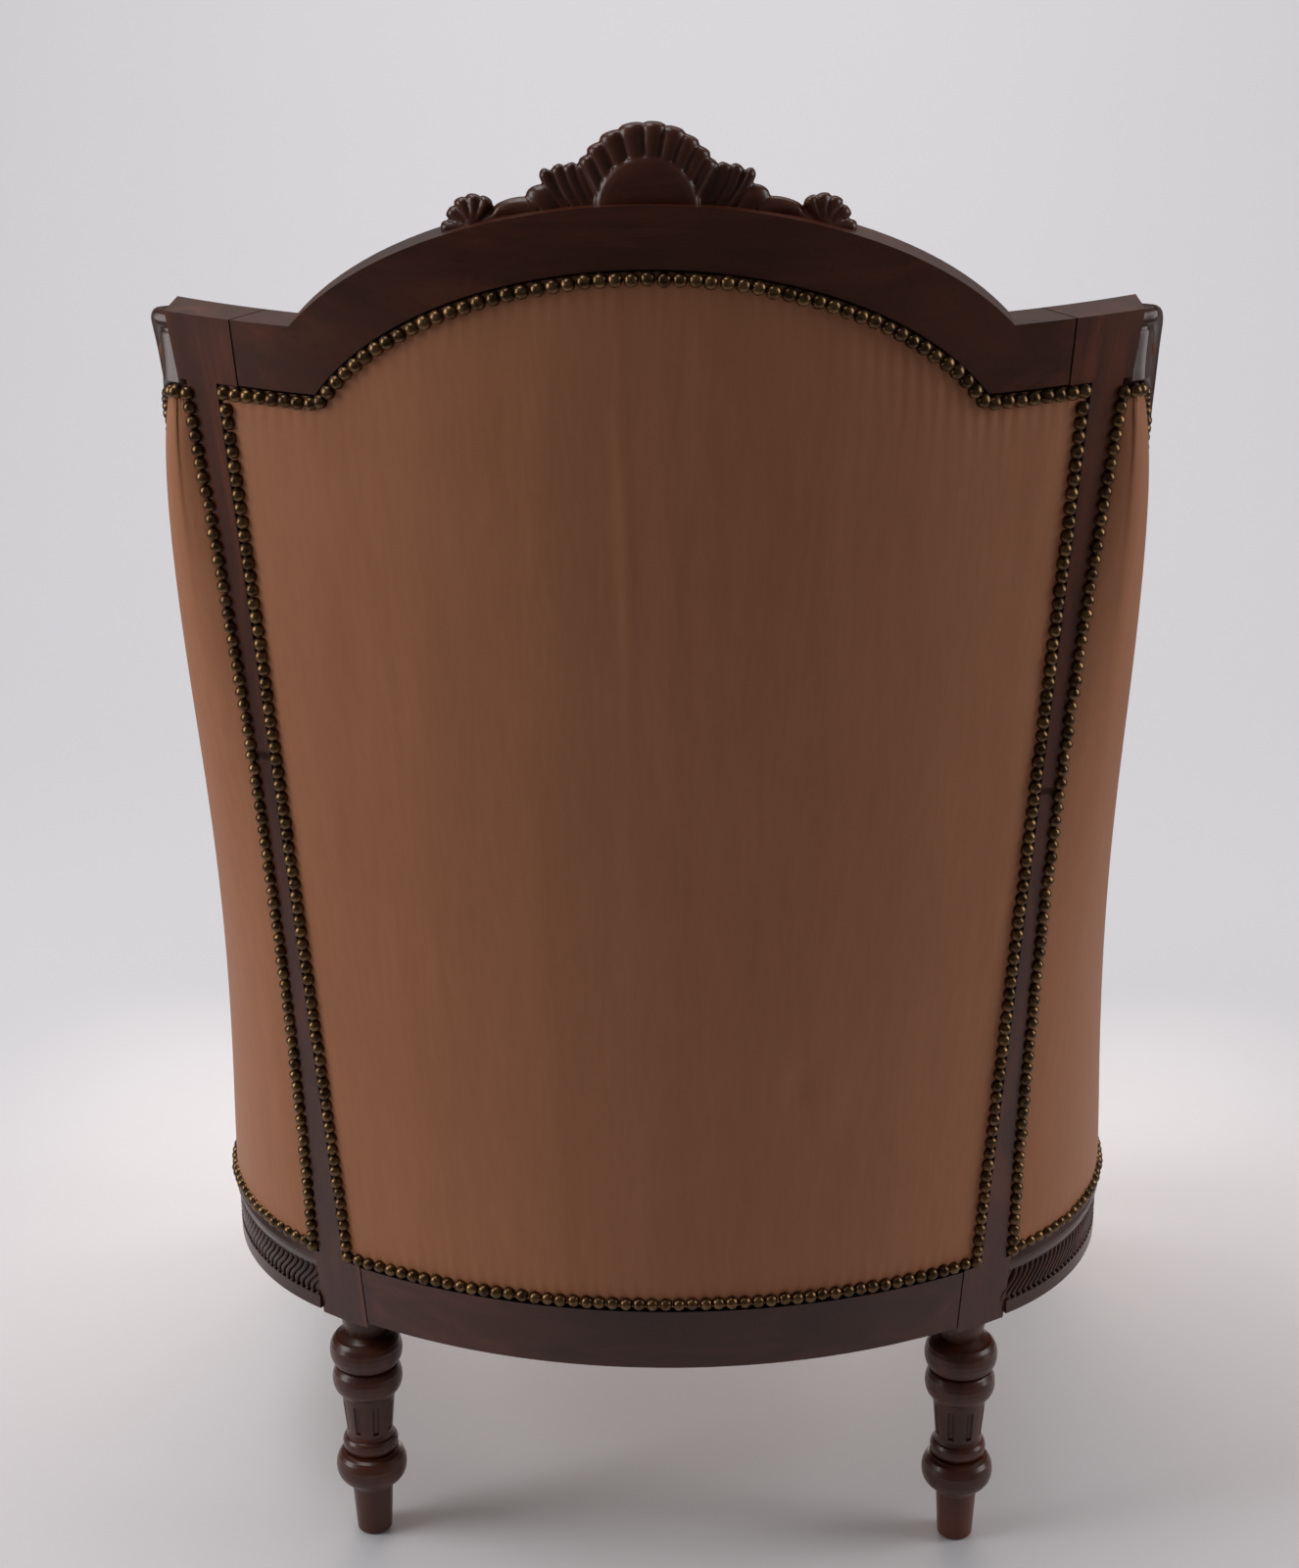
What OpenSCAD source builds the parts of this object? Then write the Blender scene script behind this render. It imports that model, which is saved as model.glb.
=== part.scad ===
// Upholstered tub armchair with a tall raked back, small wings and a loose seat cushion.
// The sitter faces -Y. The origin lies on the floor under the middle of the chair.

/* [Overall] */
// Height of the post tops and of the level shoulders of the crest rail
shoulder_h = 983; // [900:1:1060]
// Rise of the middle of the crest rail over its shoulders, without its carving
crest_rise = 84; // [70:1:95]
// Depth of the seat frame, from the back of the rear rail to the front rail
seat_depth = 628; // [580:1:680]
// Radius of the back's outer face where it meets the rear seat rail
back_r_seat = 461; // [440:1:480]
// Radius of the back's outer face at the shoulders
back_r_top = 545; // [525:1:565]

/* [Seat rails] */
// Height of the underside of the seat rails
rail_bottom = 202; // [180:1:215]
// Height of the seat rails, up to the top of their rebate
rail_h = 66; // [60:1:72]
// Height of the part of a rail that the cover leaves bare
rail_show_h = 52; // [46:1:56]
// Thickness of the seat rails
rail_t = 34; // [28:1:38]
// Radius of the side rail's round rear corner
corner_r = 200; // [185:1:215]
// Inward lean of the straight part of the side rail, in degrees
side_taper = 2; // [1:0.5:3]
// Depth of the bow of the front rail
front_bow = 18; // [10:1:26]
// Height of the plain strip under the carved band
strip_h = 11; // [8:1:13]
// Height of the carved band
band_h = 26; // [22:1:30]
// Depth of the carved band's field
band_depth = 2.5; // [1.5:0.5:3.5]
// Reach of the bead over the carved band
bead_reach = 2; // [1:0.5:3]

/* [Back frame] */
// Angle from the middle of the back to the joint of crest rail and post
joint_angle = 29.4; // [28.5:0.1:30]
// Width of the post that shows between the covers, as an angle
show_angle = 31.1; // [30.8:0.1:31.3]
// Thickness of the back frame
frame_t = 38; // [34:1:42]
// Angle from the middle of the back to the post's bare outer edge at the seat
edge_angle = 34.1; // [33.8:0.1:34.3]
// How far that edge moves out up to the shoulders, as a share of the back's own flare
edge_flare_share = 0.512; // [0.48:0.01:0.54]
// Depth of the rebate that a cover is nailed into
rebate_t = 3.8; // [3.6:0.1:5]
// Depth of the post's rebate that a side cover is nailed into
side_rebate_t = 6; // [5.5:0.5:8]
// Width of that rebate
rebate_w = 13; // [10:1:15]

/* [Crest rail] */
// Half width at which the crest rail's top curve would reach its widest
crest_a = 260; // [255:1:266]
// Height of the crest rail's top curve over its centre
crest_b = 166; // [160:1:170]
// Half width at which the opening's arch would reach its widest
arch_a = 237; // [232:1:241]
// Height of the opening's arch over its centre
arch_b = 161; // [156:1:166]
// Height of the crest rail's middle from the arch to the top
crest_rail_h = 40; // [36:1:46]
// Height of the level shoulder
shoulder_rail_h = 44.5; // [41:0.5:48]

/* [Carving] */
// Radius of the shell's fan
shell_r = 43; // [40:1:46]
// Number of lobes of the shell
shell_lobes = 8; // [6:2:10]
// Thickness of the carving at its foot
carving_t = 26; // [22:1:30]
// Radius of the outer bud's fan
bud_r = 18; // [16:1:20]

/* [Wing and arm] */
// Half the width over the arms
arm_half_w = 364; // [355:1:372]
// Height of the underside of the arm
arm_under_h = 592; // [570:1:610]
// Height of the wing rail's face
wing_face_h = 48; // [44:1:52]
// Thickness of the wing rail and of the arm
wing_t = 36; // [32:1:40]
// Reach of the rounded nose along the wing rail's top edge
nose_reach = 4.5; // [3:0.5:6]
// Radius of the scroll at the arm's front
scroll_r = 27; // [24:1:30]
// Width of the arm support
support_w = 40; // [36:1:44]
// Depth of the arm support
support_t = 34; // [30:1:38]

/* [Legs] */
// Radius of the two upper rings
ring_r = 28; // [25:0.5:30]
// Radius of the lower ring
low_ring_r = 27.5; // [25:0.5:30]
// Radius of the neck under the block
neck_r = 15.5; // [14:0.5:18]
// Radius of the fluted column at its top
column_top_r = 20.6; // [19:0.2:22]
// Radius of the fluted column at its foot
column_foot_r = 17.6; // [16:0.2:19]
// Radius of the foot under the lower ring
foot_top_r = 15.8; // [14:0.2:18]
// Radius of the foot near the floor
foot_r = 13.6; // [12:0.2:15]
// Number of flutes
flutes = 8; // [6:1:10]
// Width of a flute
flute_w = 5; // [4:0.5:6]
// Width of the front leg's square block
block_w = 52; // [48:1:56]
// Depth of the rear post's block
block_t = 40; // [38:1:44]

/* [Upholstery] */
// Thickness of a cover with its lining
cover_t = 2.2; // [1.6:0.1:2.4]
// Thickness of the inside back's stuffing at its edge
back_pad_edge = 16; // [12:1:20]
// Thickness of the inside back's stuffing at its middle
back_pad_mid = 44; // [36:1:48]
// Thickness of the inside arm's stuffing at its edge
side_pad_edge = 16; // [15:1:18]
// Thickness of the inside arm's stuffing at its middle
side_pad_mid = 28; // [24:1:30]
// Rise of the top of the stuffed seat platform over the seat rails
deck_rise = 32; // [26:1:36]
// Distance from the outside of the frame to the side of the loose cushion
cushion_inset = 87; // [84:1:94]
// Thickness of the loose cushion at its crown
cushion_t = 118; // [100:1:126]
// Thickness of the arm's pad
arm_pad_t = 26; // [20:1:30]

/* [Inside the seat] */
// Radius of a seat spring at its ends
spring_r = 34; // [30:1:38]
// Radius of the spring's waist
spring_waist_r = 20; // [18:1:24]
// Radius of the spring's wire
spring_wire_r = 1.8; // [1.4:0.1:2.2]
// Turns of a spring
spring_turns = 3; // [3:1:4]
// Radius of a dowel
dowel_r = 5; // [4:0.5:5.5]
// Length of a dowel
dowel_len = 36; // [30:1:38]
// Radius of a corner block screw
screw_r = 2.2; // [1.8:0.1:2.6]

/* [Hidden] */

// Colours of the stained wood, the satin, the jute, the steel and the lining
wood_dark = [0.2, 0.08, 0.05];
wood_plain = [0.55, 0.4, 0.25];
satin = [0.72, 0.5, 0.4];
jute = [0.6, 0.48, 0.3];
steel = [0.5, 0.5, 0.5];
lining = [0.12, 0.11, 0.1];

// A turned or round surface of the frame, a small bore, and a carved lobe
round_fn = 128;
bore_fn = 32;
lobe_fn = 10;
// Overrun of every cut, and the gap that is left between pieces that only touch
overrun = 1;
gap = 0.3;
// Height of the nails' line over the bare part of the rail
nail_rise = 6;
// How far the post's block hangs under the rails, and its face stands out sideways
block_drop = 5;
block_proud = 2.5;
// How far below the rail's bare top the post's edge starts to flare
edge_drop = 13;
// How far the post runs on under the side cover
post_side_reach = 6;
// How deep a cover lies under the face of the frame, and how far above the rail it starts
cover_set_in = 1;
cover_rise = 4;
// How far a side cover ends below the wing rail and the arm
cover_drop = 5;
// Gap between the frame and the stuffing
pad_clear = 0.6;
// Gap between the wing rail and the side's stuffing, which leans over it
side_pad_clear = 10;

// The back is part of an upright cone that widens upwards
back_ref_h = rail_bottom + rail_show_h + nail_rise;
back_slope = (back_r_top - back_r_seat) / (shoulder_h - back_ref_h);
function r_back(z) = back_r_seat + (z - back_ref_h) * back_slope;
rail_top = rail_bottom + rail_h;
deck_h = rail_top + deck_rise;
crest_h = shoulder_h + crest_rise;
edge_x_seat = back_r_seat * sin(edge_angle);
edge_flare = edge_flare_share * (back_r_top - back_r_seat);
rail_show_top = rail_bottom + rail_show_h;
rail_r = r_back(rail_bottom + rail_show_h / 2);
half_depth = (r_back(crest_h) - rail_r + seat_depth + bead_reach) / 2;
axis_y = half_depth - r_back(crest_h);
front_y = bead_reach - half_depth;

// The side rail starts on a round corner and runs on forwards, leaning in a little
corner_start = 34.2;
corner_end = 90 + side_taper;
corner_x = (rail_r - corner_r) * sin(corner_start);
corner_y = axis_y + (rail_r - corner_r) * cos(corner_start);
side_start_y = corner_y + corner_r * cos(corner_end);
side_start_x = corner_x + corner_r * sin(corner_end);
function side_x(y) = side_start_x - (side_start_y - y) * tan(side_taper);

// The block at the bottom of the rear post ends where the side rail starts
block_bottom = rail_bottom - block_drop;
block_end_x = edge_x_seat + block_proud;
block_end_angle = asin((block_end_x - corner_x) / corner_r);
block_over_angle = 10;
leg_angle = (joint_angle + corner_start) / 2;
rear_leg_r = r_back(block_bottom) - block_t / 2;
rear_leg = [rear_leg_r * sin(leg_angle), axis_y + rear_leg_r * cos(leg_angle)];
front_block_y = front_y + front_bow + block_w / 2;
front_leg = [side_x(front_block_y) - block_w / 2, front_block_y];

// Bare outer edge of the post, seen from behind: a parabola that flares upwards
edge_h = shoulder_h - wing_face_h - rail_show_top + edge_drop;
edge_base = rail_show_top - edge_drop;
function edge_x(z) = edge_x_seat + edge_flare * pow(max(0, z - edge_base) / edge_h, 2);
function edge_y(z) = axis_y + sqrt(pow(r_back(z), 2) - pow(edge_x(z), 2));
wing_under = shoulder_h - wing_face_h;

// Path of the lower outer edge of the wing rail and the arm, from the post to the
// scroll. Shares: the way out from the post's edge to the arms' width, half depth, and
// the height from the underside of the arm up to the underside of the wing rail.
wing_path_shares = [
    [0.267, 0.665, 1.000], [0.383, 0.592, 0.975], [0.465, 0.500, 0.880], [0.534, 0.388, 0.710],
    [0.587, 0.277, 0.505], [0.639, 0.166, 0.315], [0.703, 0.042, 0.170], [0.796, -0.111, 0.075],
    [0.907, -0.283, 0.025], [0.983, -0.443, 0.005], [1.000, -0.545, 0.000]];
wing_out = 7.5;
wing_in = 5.2;
wing_step = [wing_out, -wing_in, 0];
wing_start = [edge_x(wing_under), edge_y(wing_under), wing_under] + wing_step;
wing_points = concat(
    [wing_start, wing_start + wing_step],
    [for (s = wing_path_shares)
        [edge_x(wing_under) + s[0] * (arm_half_w - edge_x(wing_under)), s[1] * half_depth,
            arm_under_h + s[2] * (wing_under - arm_under_h)]]);
arm_joint = 8;
arm_end = len(wing_points) - 1;

// A smooth curve through a list of points
function spline_point(p, i, t) =
    let (a = p[max(i - 1, 0)], b = p[i], c = p[min(i + 1, len(p) - 1)],
        d = p[min(i + 2, len(p) - 1)])
    0.5 * (2 * b + (c - a) * t + (2 * a - 5 * b + 4 * c - d) * t * t
        + (3 * b - a - 3 * c + d) * t * t * t);
function spline(p, first, last, steps) =
    [for (i = [first:last - 1]) for (k = [0:steps - 1]) spline_point(p, i, k / steps),
        spline_point(p, last - 1, 1)];
function spline_at(p, first, last, u) =
    let (s = first + u * (last - first), i = min(floor(s), len(p) - 2))
    spline_point(p, i, s - i);

// Direction along a path, and the level direction that points away from the seat
function unit(v) = v / norm(v);
function along(p, i) = unit(p[min(i + 1, len(p) - 1)] - p[max(i - 1, 0)]);
function outward(t) = unit([-t[1], t[0], 0]);
function placed(profile, origin, t) =
    let (n = outward(t), b = cross(t, n))
    [for (q = profile) origin + n * q[0] + b * q[1]];

// A solid through a list of rings that all have the same number of points
function side_faces(k, n) =
    [for (i = [0:k - 2]) for (j = [0:n - 1])
        each [[i * n + j, (i + 1) * n + j, (i + 1) * n + (j + 1) % n],
            [i * n + j, (i + 1) * n + (j + 1) % n, i * n + (j + 1) % n]]];
function strip_faces(start, n, flip) =
    [for (j = [0:n / 2 - 2])
        each let (a = start + j, b = start + j + 1, c = start + n - 2 - j, d = start + n - 1 - j)
        (flip ? [[a, b, c], [a, c, d]] : [[a, c, b], [a, d, c]])];
module loft(rings) {
    n = len(rings[0]);
    k = len(rings);
    polyhedron([for (r = rings) each r],
        concat(side_faces(k, n), strip_faces(0, n, true), strip_faces((k - 1) * n, n, false)));
}
module sweep(profile, path) {
    loft([for (i = [0:len(path) - 1]) placed(profile, path[i], along(path, i))]);
}

// Plan of the seat: distance d in from the outside of the frame at the back and the
// sides, fd in from the front rail's face, and fr the radius of the front corners
back_steps = 6;
corner_steps = 8;
round_steps = 4;
front_steps = 5;
function front_line(x, fd) =
    front_y + fd + front_bow * pow(x / (front_leg[0] - block_w / 2), 2);
function plan_half(d, fd, fr) =
    let (cy = front_line(side_x(front_y + fd) - d - fr, fd) + fr, cx = side_x(cy) - d - fr)
    concat(
        [for (i = [0:back_steps]) let (a = corner_start * i / back_steps)
            [(rail_r - d) * sin(a), axis_y + (rail_r - d) * cos(a)]],
        [for (i = [1:corner_steps])
            let (a = corner_start + (corner_end - corner_start) * i / corner_steps)
            [corner_x + (corner_r - d) * sin(a), corner_y + (corner_r - d) * cos(a)]],
        [for (i = [0:round_steps]) let (a = 90 * i / round_steps)
            [cx + fr * cos(a), cy - fr * sin(a)]],
        [for (i = [1:front_steps]) let (x = cx * (1 - i / front_steps))
            [x, front_line(x, fd)]]);
function plan_points(d, fd, fr) =
    let (h = plan_half(d, fd, fr), n = len(h))
    concat(h, [for (i = [n - 2:-1:1]) [-h[i][0], h[i][1]]]);
module plan_area(d, fd, fr) {
    polygon(plan_points(d, fd, fr));
}
function plan_ring(d, fd, fr, z) = [for (p = plan_points(d, fd, fr)) [p[0], p[1], z]];

// Part of the conical back between two heights, seen as a shell
module back_shell(z0, z1, set_in, thick) {
    translate([0, axis_y, z0])
        difference() {
            cylinder(h = z1 - z0, r1 = r_back(z0) - set_in, r2 = r_back(z1) - set_in,
                $fn = round_fn);
            translate([0, 0, -overrun])
                cylinder(h = z1 - z0 + 2 * overrun,
                    r1 = r_back(z0 - overrun) - set_in - thick,
                    r2 = r_back(z1 + overrun) - set_in - thick, $fn = round_fn);
        }
}
// The rear half of space, as a block over an outline drawn in X and Z
module seen_from_behind(reach) {
    translate([0, reach, 0]) rotate([90, 0, 0]) linear_extrude(reach) children();
}
// Upright wedge of the back between two angles from its middle
module wedge(a0, a1, z0, z1) {
    reach = 2 * back_r_top;
    translate([0, axis_y, z0]) linear_extrude(z1 - z0)
        polygon([[0, 0], [reach * sin(a0), reach * cos(a0)],
            [reach * sin(a1), reach * cos(a1)]]);
}
module left_and_right() {
    children();
    mirror([1, 0, 0]) children();
}

// Dowels that join the rails to the posts and legs; extra widens them into bores
module dowel_at(place, direction, extra) {
    translate(place) rotate([0, 0, -direction]) rotate([-90, 0, 0])
        translate([0, 0, -dowel_len / 2 - extra])
            cylinder(h = dowel_len + 2 * extra, r = dowel_r + extra, $fn = bore_fn);
}
module dowels(extra) {
    low = rail_bottom + 0.27 * rail_show_h;
    high = rail_bottom + 0.75 * rail_show_h;
    mid_r = rail_r - rail_t / 2;
    end_r = corner_r - rail_t / 2;
    front_line_y = front_y + front_bow + rail_t / 2;
    side_line_x = side_x(front_leg[1] + block_w / 2) - rail_t / 2;
    left_and_right() {
        for (z = [low, high]) {
            dowel_at([mid_r * sin(joint_angle), axis_y + mid_r * cos(joint_angle), z],
                90 + joint_angle, extra);
            dowel_at([corner_x + end_r * sin(block_end_angle),
                corner_y + end_r * cos(block_end_angle), z], 90 + block_end_angle, extra);
            dowel_at([front_leg[0] - block_w / 2, front_line_y, z], 90, extra);
            dowel_at([side_line_x, front_leg[1] + block_w / 2, z], 180 + side_taper, extra);
        }
        crest_dowel_r = r_back(shoulder_h - shoulder_rail_h / 2) - frame_t / 2;
        dowel_at([crest_dowel_r * sin(joint_angle),
            axis_y + crest_dowel_r * cos(joint_angle), shoulder_h - shoulder_rail_h / 2],
            90 + joint_angle, extra);
    }
}
bore_play = 0.1;

// A turned leg, from the block's underside down to the floor
function arc_points(cx, cz, rx, rz, a0, a1, n) =
    [for (i = [0:n]) let (a = a0 + (a1 - a0) * i / n) [cx + rx * cos(a), cz + rz * sin(a)]];
ring_1_share = 0.832;
ring_2_share = 0.706;
ring_3_share = 0.412;
ring_4_share = 0.306;
module turned_leg() {
    top = block_bottom;
    cove_h = 0.074 * top;
    ring_1 = ring_1_share * top;
    ring_2 = ring_2_share * top;
    ring_3 = ring_3_share * top;
    ring_4 = ring_4_share * top;
    upper_h = 0.066 * top;
    small_h = 0.036 * top;
    lower_h = 0.066 * top;
    ring_in = 0.285 * ring_r;
    column_top = ring_2 - upper_h;
    column_foot = ring_3 + small_h;
    foot_top = ring_4 - lower_h;
    edge = 0.107 * ring_r;
    difference() {
        rotate_extrude($fn = 64)
            polygon(concat(
                [[0, 0], [foot_r - edge, 0]],
                arc_points(foot_r - edge, edge, edge, edge, -60, 0, 3),
                [[foot_top_r, foot_top - 2 * edge], [foot_top_r + edge, foot_top]],
                arc_points(low_ring_r - ring_in, ring_4, ring_in, lower_h, -80, 80, 8),
                [[low_ring_r - 2 * edge, ring_4 + lower_h + edge / 2]],
                arc_points(low_ring_r - ring_in - edge, ring_3, ring_in - edge, small_h, -70, 80, 6),
                [[column_foot_r + edge / 3, column_foot], [column_foot_r, column_foot + edge],
                    [column_top_r, column_top]],
                arc_points(ring_r - ring_in - edge / 3, ring_2, ring_in, upper_h, -80, 70, 8),
                [[ring_r - 1.3 * edge, (ring_1 + ring_2) / 2]],
                arc_points(ring_r - ring_in, ring_1, ring_in, upper_h, -70, 86, 8),
                [[neck_r, ring_1 + upper_h + edge]],
                [[neck_r + edge, top - edge], [neck_r + 1.2 * edge, top],
                    [neck_r, top + edge], [0, top + edge]]));
        flute_tilt = atan((column_top_r - column_foot_r) / (column_top - column_foot));
        for (i = [0:flutes - 1])
            rotate([0, 0, 360 * (i + 0.5) / flutes])
                translate([column_foot_r + 0.2 * flute_w, 0, column_foot + 2 * edge])
                    rotate([0, flute_tilt, 0])
                        cylinder(h = column_top - column_foot - 4 * edge, r = flute_w / 2,
                            $fn = 24);
    }
}

// Outline of the post seen from behind, with its lower end left square
post_steps = 14;
module post_outline(z0, z1, extra) {
    polygon(concat(
        [for (z = [z0, z1]) [0.5 * edge_x_seat, z]],
        [for (i = [post_steps:-1:0]) let (z = z0 + (z1 - z0) * i / post_steps)
            [edge_x(z) + post_side_reach + extra, z]]));
}
// Outline of the part of the post that no cover lies on
module bare_post_outline() {
    z0 = rail_show_top - overrun;
    z1 = shoulder_h - shoulder_rail_h;
    polygon(concat(
        [for (z = [z0, z1]) [r_back(z) * sin(show_angle), z]],
        [for (i = [post_steps:-1:0]) let (z = z0 + (z1 - z0) * i / post_steps)
            [edge_x(z), z]]));
}
module rear_post_left() {
    color(wood_dark) {
        difference() {
            union() {
                difference() {
                    intersection() {
                        back_shell(rail_show_top, shoulder_h, 0, frame_t);
                        seen_from_behind(back_r_top) post_outline(rail_show_top, shoulder_h, 0);
                        wedge(joint_angle, corner_start + block_over_angle,
                            rail_show_top, shoulder_h);
                    }
                    side_rail_room();
                }
                intersection() {
                    back_shell(block_bottom, rail_show_top, 0, block_t);
                    wedge(joint_angle, corner_start + block_over_angle, block_bottom, rail_show_top);
                    block_cutter();
                }
                translate([rear_leg[0], rear_leg[1], 0]) turned_leg();
            }
            // Rebates for the covers on both sides of the bare face
            for (depth = [rebate_t, side_rebate_t])
                difference() {
                    back_shell(rail_show_top, shoulder_h - shoulder_rail_h, -overrun,
                        depth + overrun);
                    seen_from_behind(back_r_top) bare_post_outline();
                    if (depth > rebate_t)
                        wedge(-corner_start, show_angle, 0, shoulder_h);
                }
            dowels(bore_play);
        }
    }
}
// Everything on the post's side of the plane where the side rail starts
module block_cutter() {
    reach = 2 * corner_r;
    translate([corner_x, corner_y, block_bottom]) rotate([0, 0, -block_end_angle])
        translate([-reach, -reach, 0]) cube([reach, 2 * reach, rail_h]);
}
// The side rail's side of that plane, up to just above the rail's top
module side_rail_room() {
    reach = 2 * corner_r;
    translate([corner_x, corner_y, rail_bottom]) rotate([0, 0, -block_end_angle])
        translate([0, -reach, 0]) cube([reach, 2 * reach, rail_h + gap]);
}

// Crest rail: level shoulders and a raised middle, cut from the conical back
crest_steps = 24;
shoulder_x = crest_a * sqrt(1 - pow((crest_b - crest_h + shoulder_h) / crest_b, 2));
arch_top = crest_h - crest_rail_h;
arch_foot = shoulder_h - shoulder_rail_h;
function ellipse_z(a, b, top, x) = top - b + b * sqrt(max(0, 1 - pow(x / a, 2)));
function ellipse_x(a, b, top, z) = a * sqrt(max(0, 1 - pow((z - top + b) / b, 2)));
function arch_points(a, b, top, foot) =
    let (w = ellipse_x(a, b, top, foot))
    [for (i = [-crest_steps:crest_steps]) let (x = w * sin(90 * i / crest_steps))
        [x, abs(i) == crest_steps ? foot : ellipse_z(a, b, top, x)]];
module crest_outline(lift) {
    side = r_back(shoulder_h);
    polygon(concat(
        [[-side, shoulder_h + lift]],
        arch_points(crest_a + lift, crest_b, crest_h + lift, shoulder_h + lift),
        [[side, shoulder_h + lift], [side, 0], [-side, 0]]));
}
module opening_outline(shrink) {
    side = r_back(shoulder_h);
    polygon(concat(
        [[-side, arch_foot - shrink]],
        arch_points(arch_a - shrink, arch_b - shrink, arch_top - shrink, arch_foot - shrink),
        [[side, arch_foot - shrink], [side, 0], [-side, 0]]));
}
module crest_rail() {
    color(wood_dark)
        difference() {
            intersection() {
                back_shell(arch_foot - rebate_w, crest_h + overrun, 0, frame_t);
                seen_from_behind(back_r_top) crest_outline(0);
                wedge(-joint_angle, joint_angle, arch_foot - rebate_w, crest_h + overrun);
            }
            seen_from_behind(back_r_top) opening_outline(rebate_w);
            intersection() {
                back_shell(arch_foot - 2 * rebate_w, arch_top, -overrun, rebate_t + overrun);
                seen_from_behind(back_r_top) opening_outline(0);
            }
            dowels(bore_play);
        }
}

// Carved shell with a leaf, a scroll and a bud on each side, standing on the crest rail
function crest_place(x, z, lean) =
    [x, axis_y + sqrt(pow(r_back(z) - frame_t / 2 + lean, 2) - x * x), z];
module lobe(x0, z0, r0, x1, z1, r1) {
    hull() {
        translate(crest_place(x0, z0, 0)) sphere(r = r0, $fn = lobe_fn);
        translate(crest_place(x1, z1, 0)) sphere(r = r1, $fn = lobe_fn);
    }
}
hub_z = crest_h + 0.1 * shell_r;
shell_fan = 122;
dome_r = 0.66 * shell_r;
module shell_dome() {
    rotate_extrude($fn = 32)
        polygon(concat([[0, -carving_t / 2], [0.5 * dome_r, -0.46 * carving_t],
            [0.85 * dome_r, -0.3 * carving_t], [dome_r, 0], [0.85 * dome_r, 0.3 * carving_t],
            [0.5 * dome_r, 0.46 * carving_t], [0, carving_t / 2]]));
}
// Foot and tip of each blade of a leaf across the chair, and the tip's height
blade_place_shares = [[1.10, 1.50, 0.46], [0.95, 1.29, 0.50], [0.80, 1.10, 0.52],
    [0.66, 0.94, 0.52]];
// Places across the chair and heights of the scroll between leaf and bud, and its radius
// as a share of the carving's thickness
scroll_place_shares = [[1.20, -0.04, 0.26], [1.64, -0.10, 0.30], [2.20, -0.30, 0.15]];
bud_angles = [-80, -42, -6, 30, 66, 104];
bud_place_shares = [2.47, -0.27];
module crest_carving() {
    bud_x = bud_place_shares[0] * shell_r;
    bud_z = crest_h + bud_place_shares[1] * shell_r;
    color(wood_dark)
        difference() {
            union() {
                for (i = [0:shell_lobes - 1])
                    let (a = shell_fan * ((i + 0.5) / shell_lobes - 0.5),
                        reach = shell_r - 0.2 * carving_t)
                    lobe(0.35 * reach * sin(a), hub_z + 0.35 * reach * cos(a), 0.2 * carving_t,
                        reach * sin(a), hub_z + reach * cos(a), 0.2 * carving_t);
                translate(crest_place(0, hub_z - 0.1 * shell_r, 0)) rotate([90, 0, 0])
                    shell_dome();
                left_and_right() {
                    for (s = blade_place_shares)
                        lobe(s[0] * shell_r, crest_h - 0.05 * shell_r, 0.26 * carving_t,
                            s[1] * shell_r, crest_h + s[2] * shell_r - 0.12 * carving_t,
                            0.12 * carving_t);
                    for (i = [0, 1])
                        let (s = scroll_place_shares[i], t = scroll_place_shares[i + 1])
                        lobe(s[0] * shell_r, crest_h + s[1] * shell_r, s[2] * carving_t,
                            t[0] * shell_r, crest_h + t[1] * shell_r, t[2] * carving_t);
                    for (a = bud_angles)
                        let (reach = bud_r - 0.16 * carving_t)
                        lobe(bud_x, bud_z, 0.22 * carving_t,
                            bud_x + reach * sin(a), bud_z + reach * cos(a), 0.16 * carving_t);
                }
            }
            translate([0, half_depth - back_r_top, 0])
                seen_from_behind(back_r_top) crest_outline(0);
        }
}

// Section of a seat rail, from its inner face out to its bead and its carved band
function rail_section(r) =
    let (z1 = rail_bottom + strip_h, z2 = z1 + band_h, z3 = rail_show_top,
        bead_flat = 0.1 * (z3 - z2))
    [[r - rail_t, rail_bottom], [r, rail_bottom], [r, z1], [r - band_depth, z1],
        [r - band_depth, z2], [r, z2], [r + bead_reach, (z2 + z3) / 2 - bead_flat],
        [r + bead_reach, (z2 + z3) / 2 + bead_flat], [r, z3], [r - rebate_t, z3],
        [r - rebate_t, rail_top], [r - rail_t, rail_top]];
module rear_seat_rail() {
    color(wood_dark)
        difference() {
            intersection() {
                back_shell(rail_bottom, rail_top, 0, rail_t);
                wedge(-joint_angle, joint_angle, rail_bottom, rail_top);
            }
            back_shell(rail_show_top, rail_top + overrun, -overrun,
                rebate_t + overrun);
            dowels(bore_play);
            block_screw_set(bore_play);
        }
}
side_rail_end = front_leg[1] + block_w / 2;
module side_seat_rail_left() {
    turn = corner_end - block_end_angle;
    run = (side_start_y - side_rail_end) / cos(side_taper);
    color(wood_dark)
        difference() {
            union() {
                translate([corner_x, corner_y, 0])
                    rotate([0, 0, 90 - corner_end])
                        rotate_extrude(angle = turn, $fn = 2 * round_fn)
                            polygon(rail_section(corner_r));
                translate([side_start_x, side_start_y, 0])
                    rotate([0, 0, -side_taper]) rotate([90, 0, 0])
                        translate([0, 0, -gap])
                            linear_extrude(run + block_w / 2) polygon(rail_section(0));
            }
            translate([0, side_rail_end - block_w, rail_bottom - overrun])
                cube([2 * arm_half_w, block_w, rail_h + 2 * overrun]);
            dowels(bore_play);
            block_screw_set(bore_play);
        }
}
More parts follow.
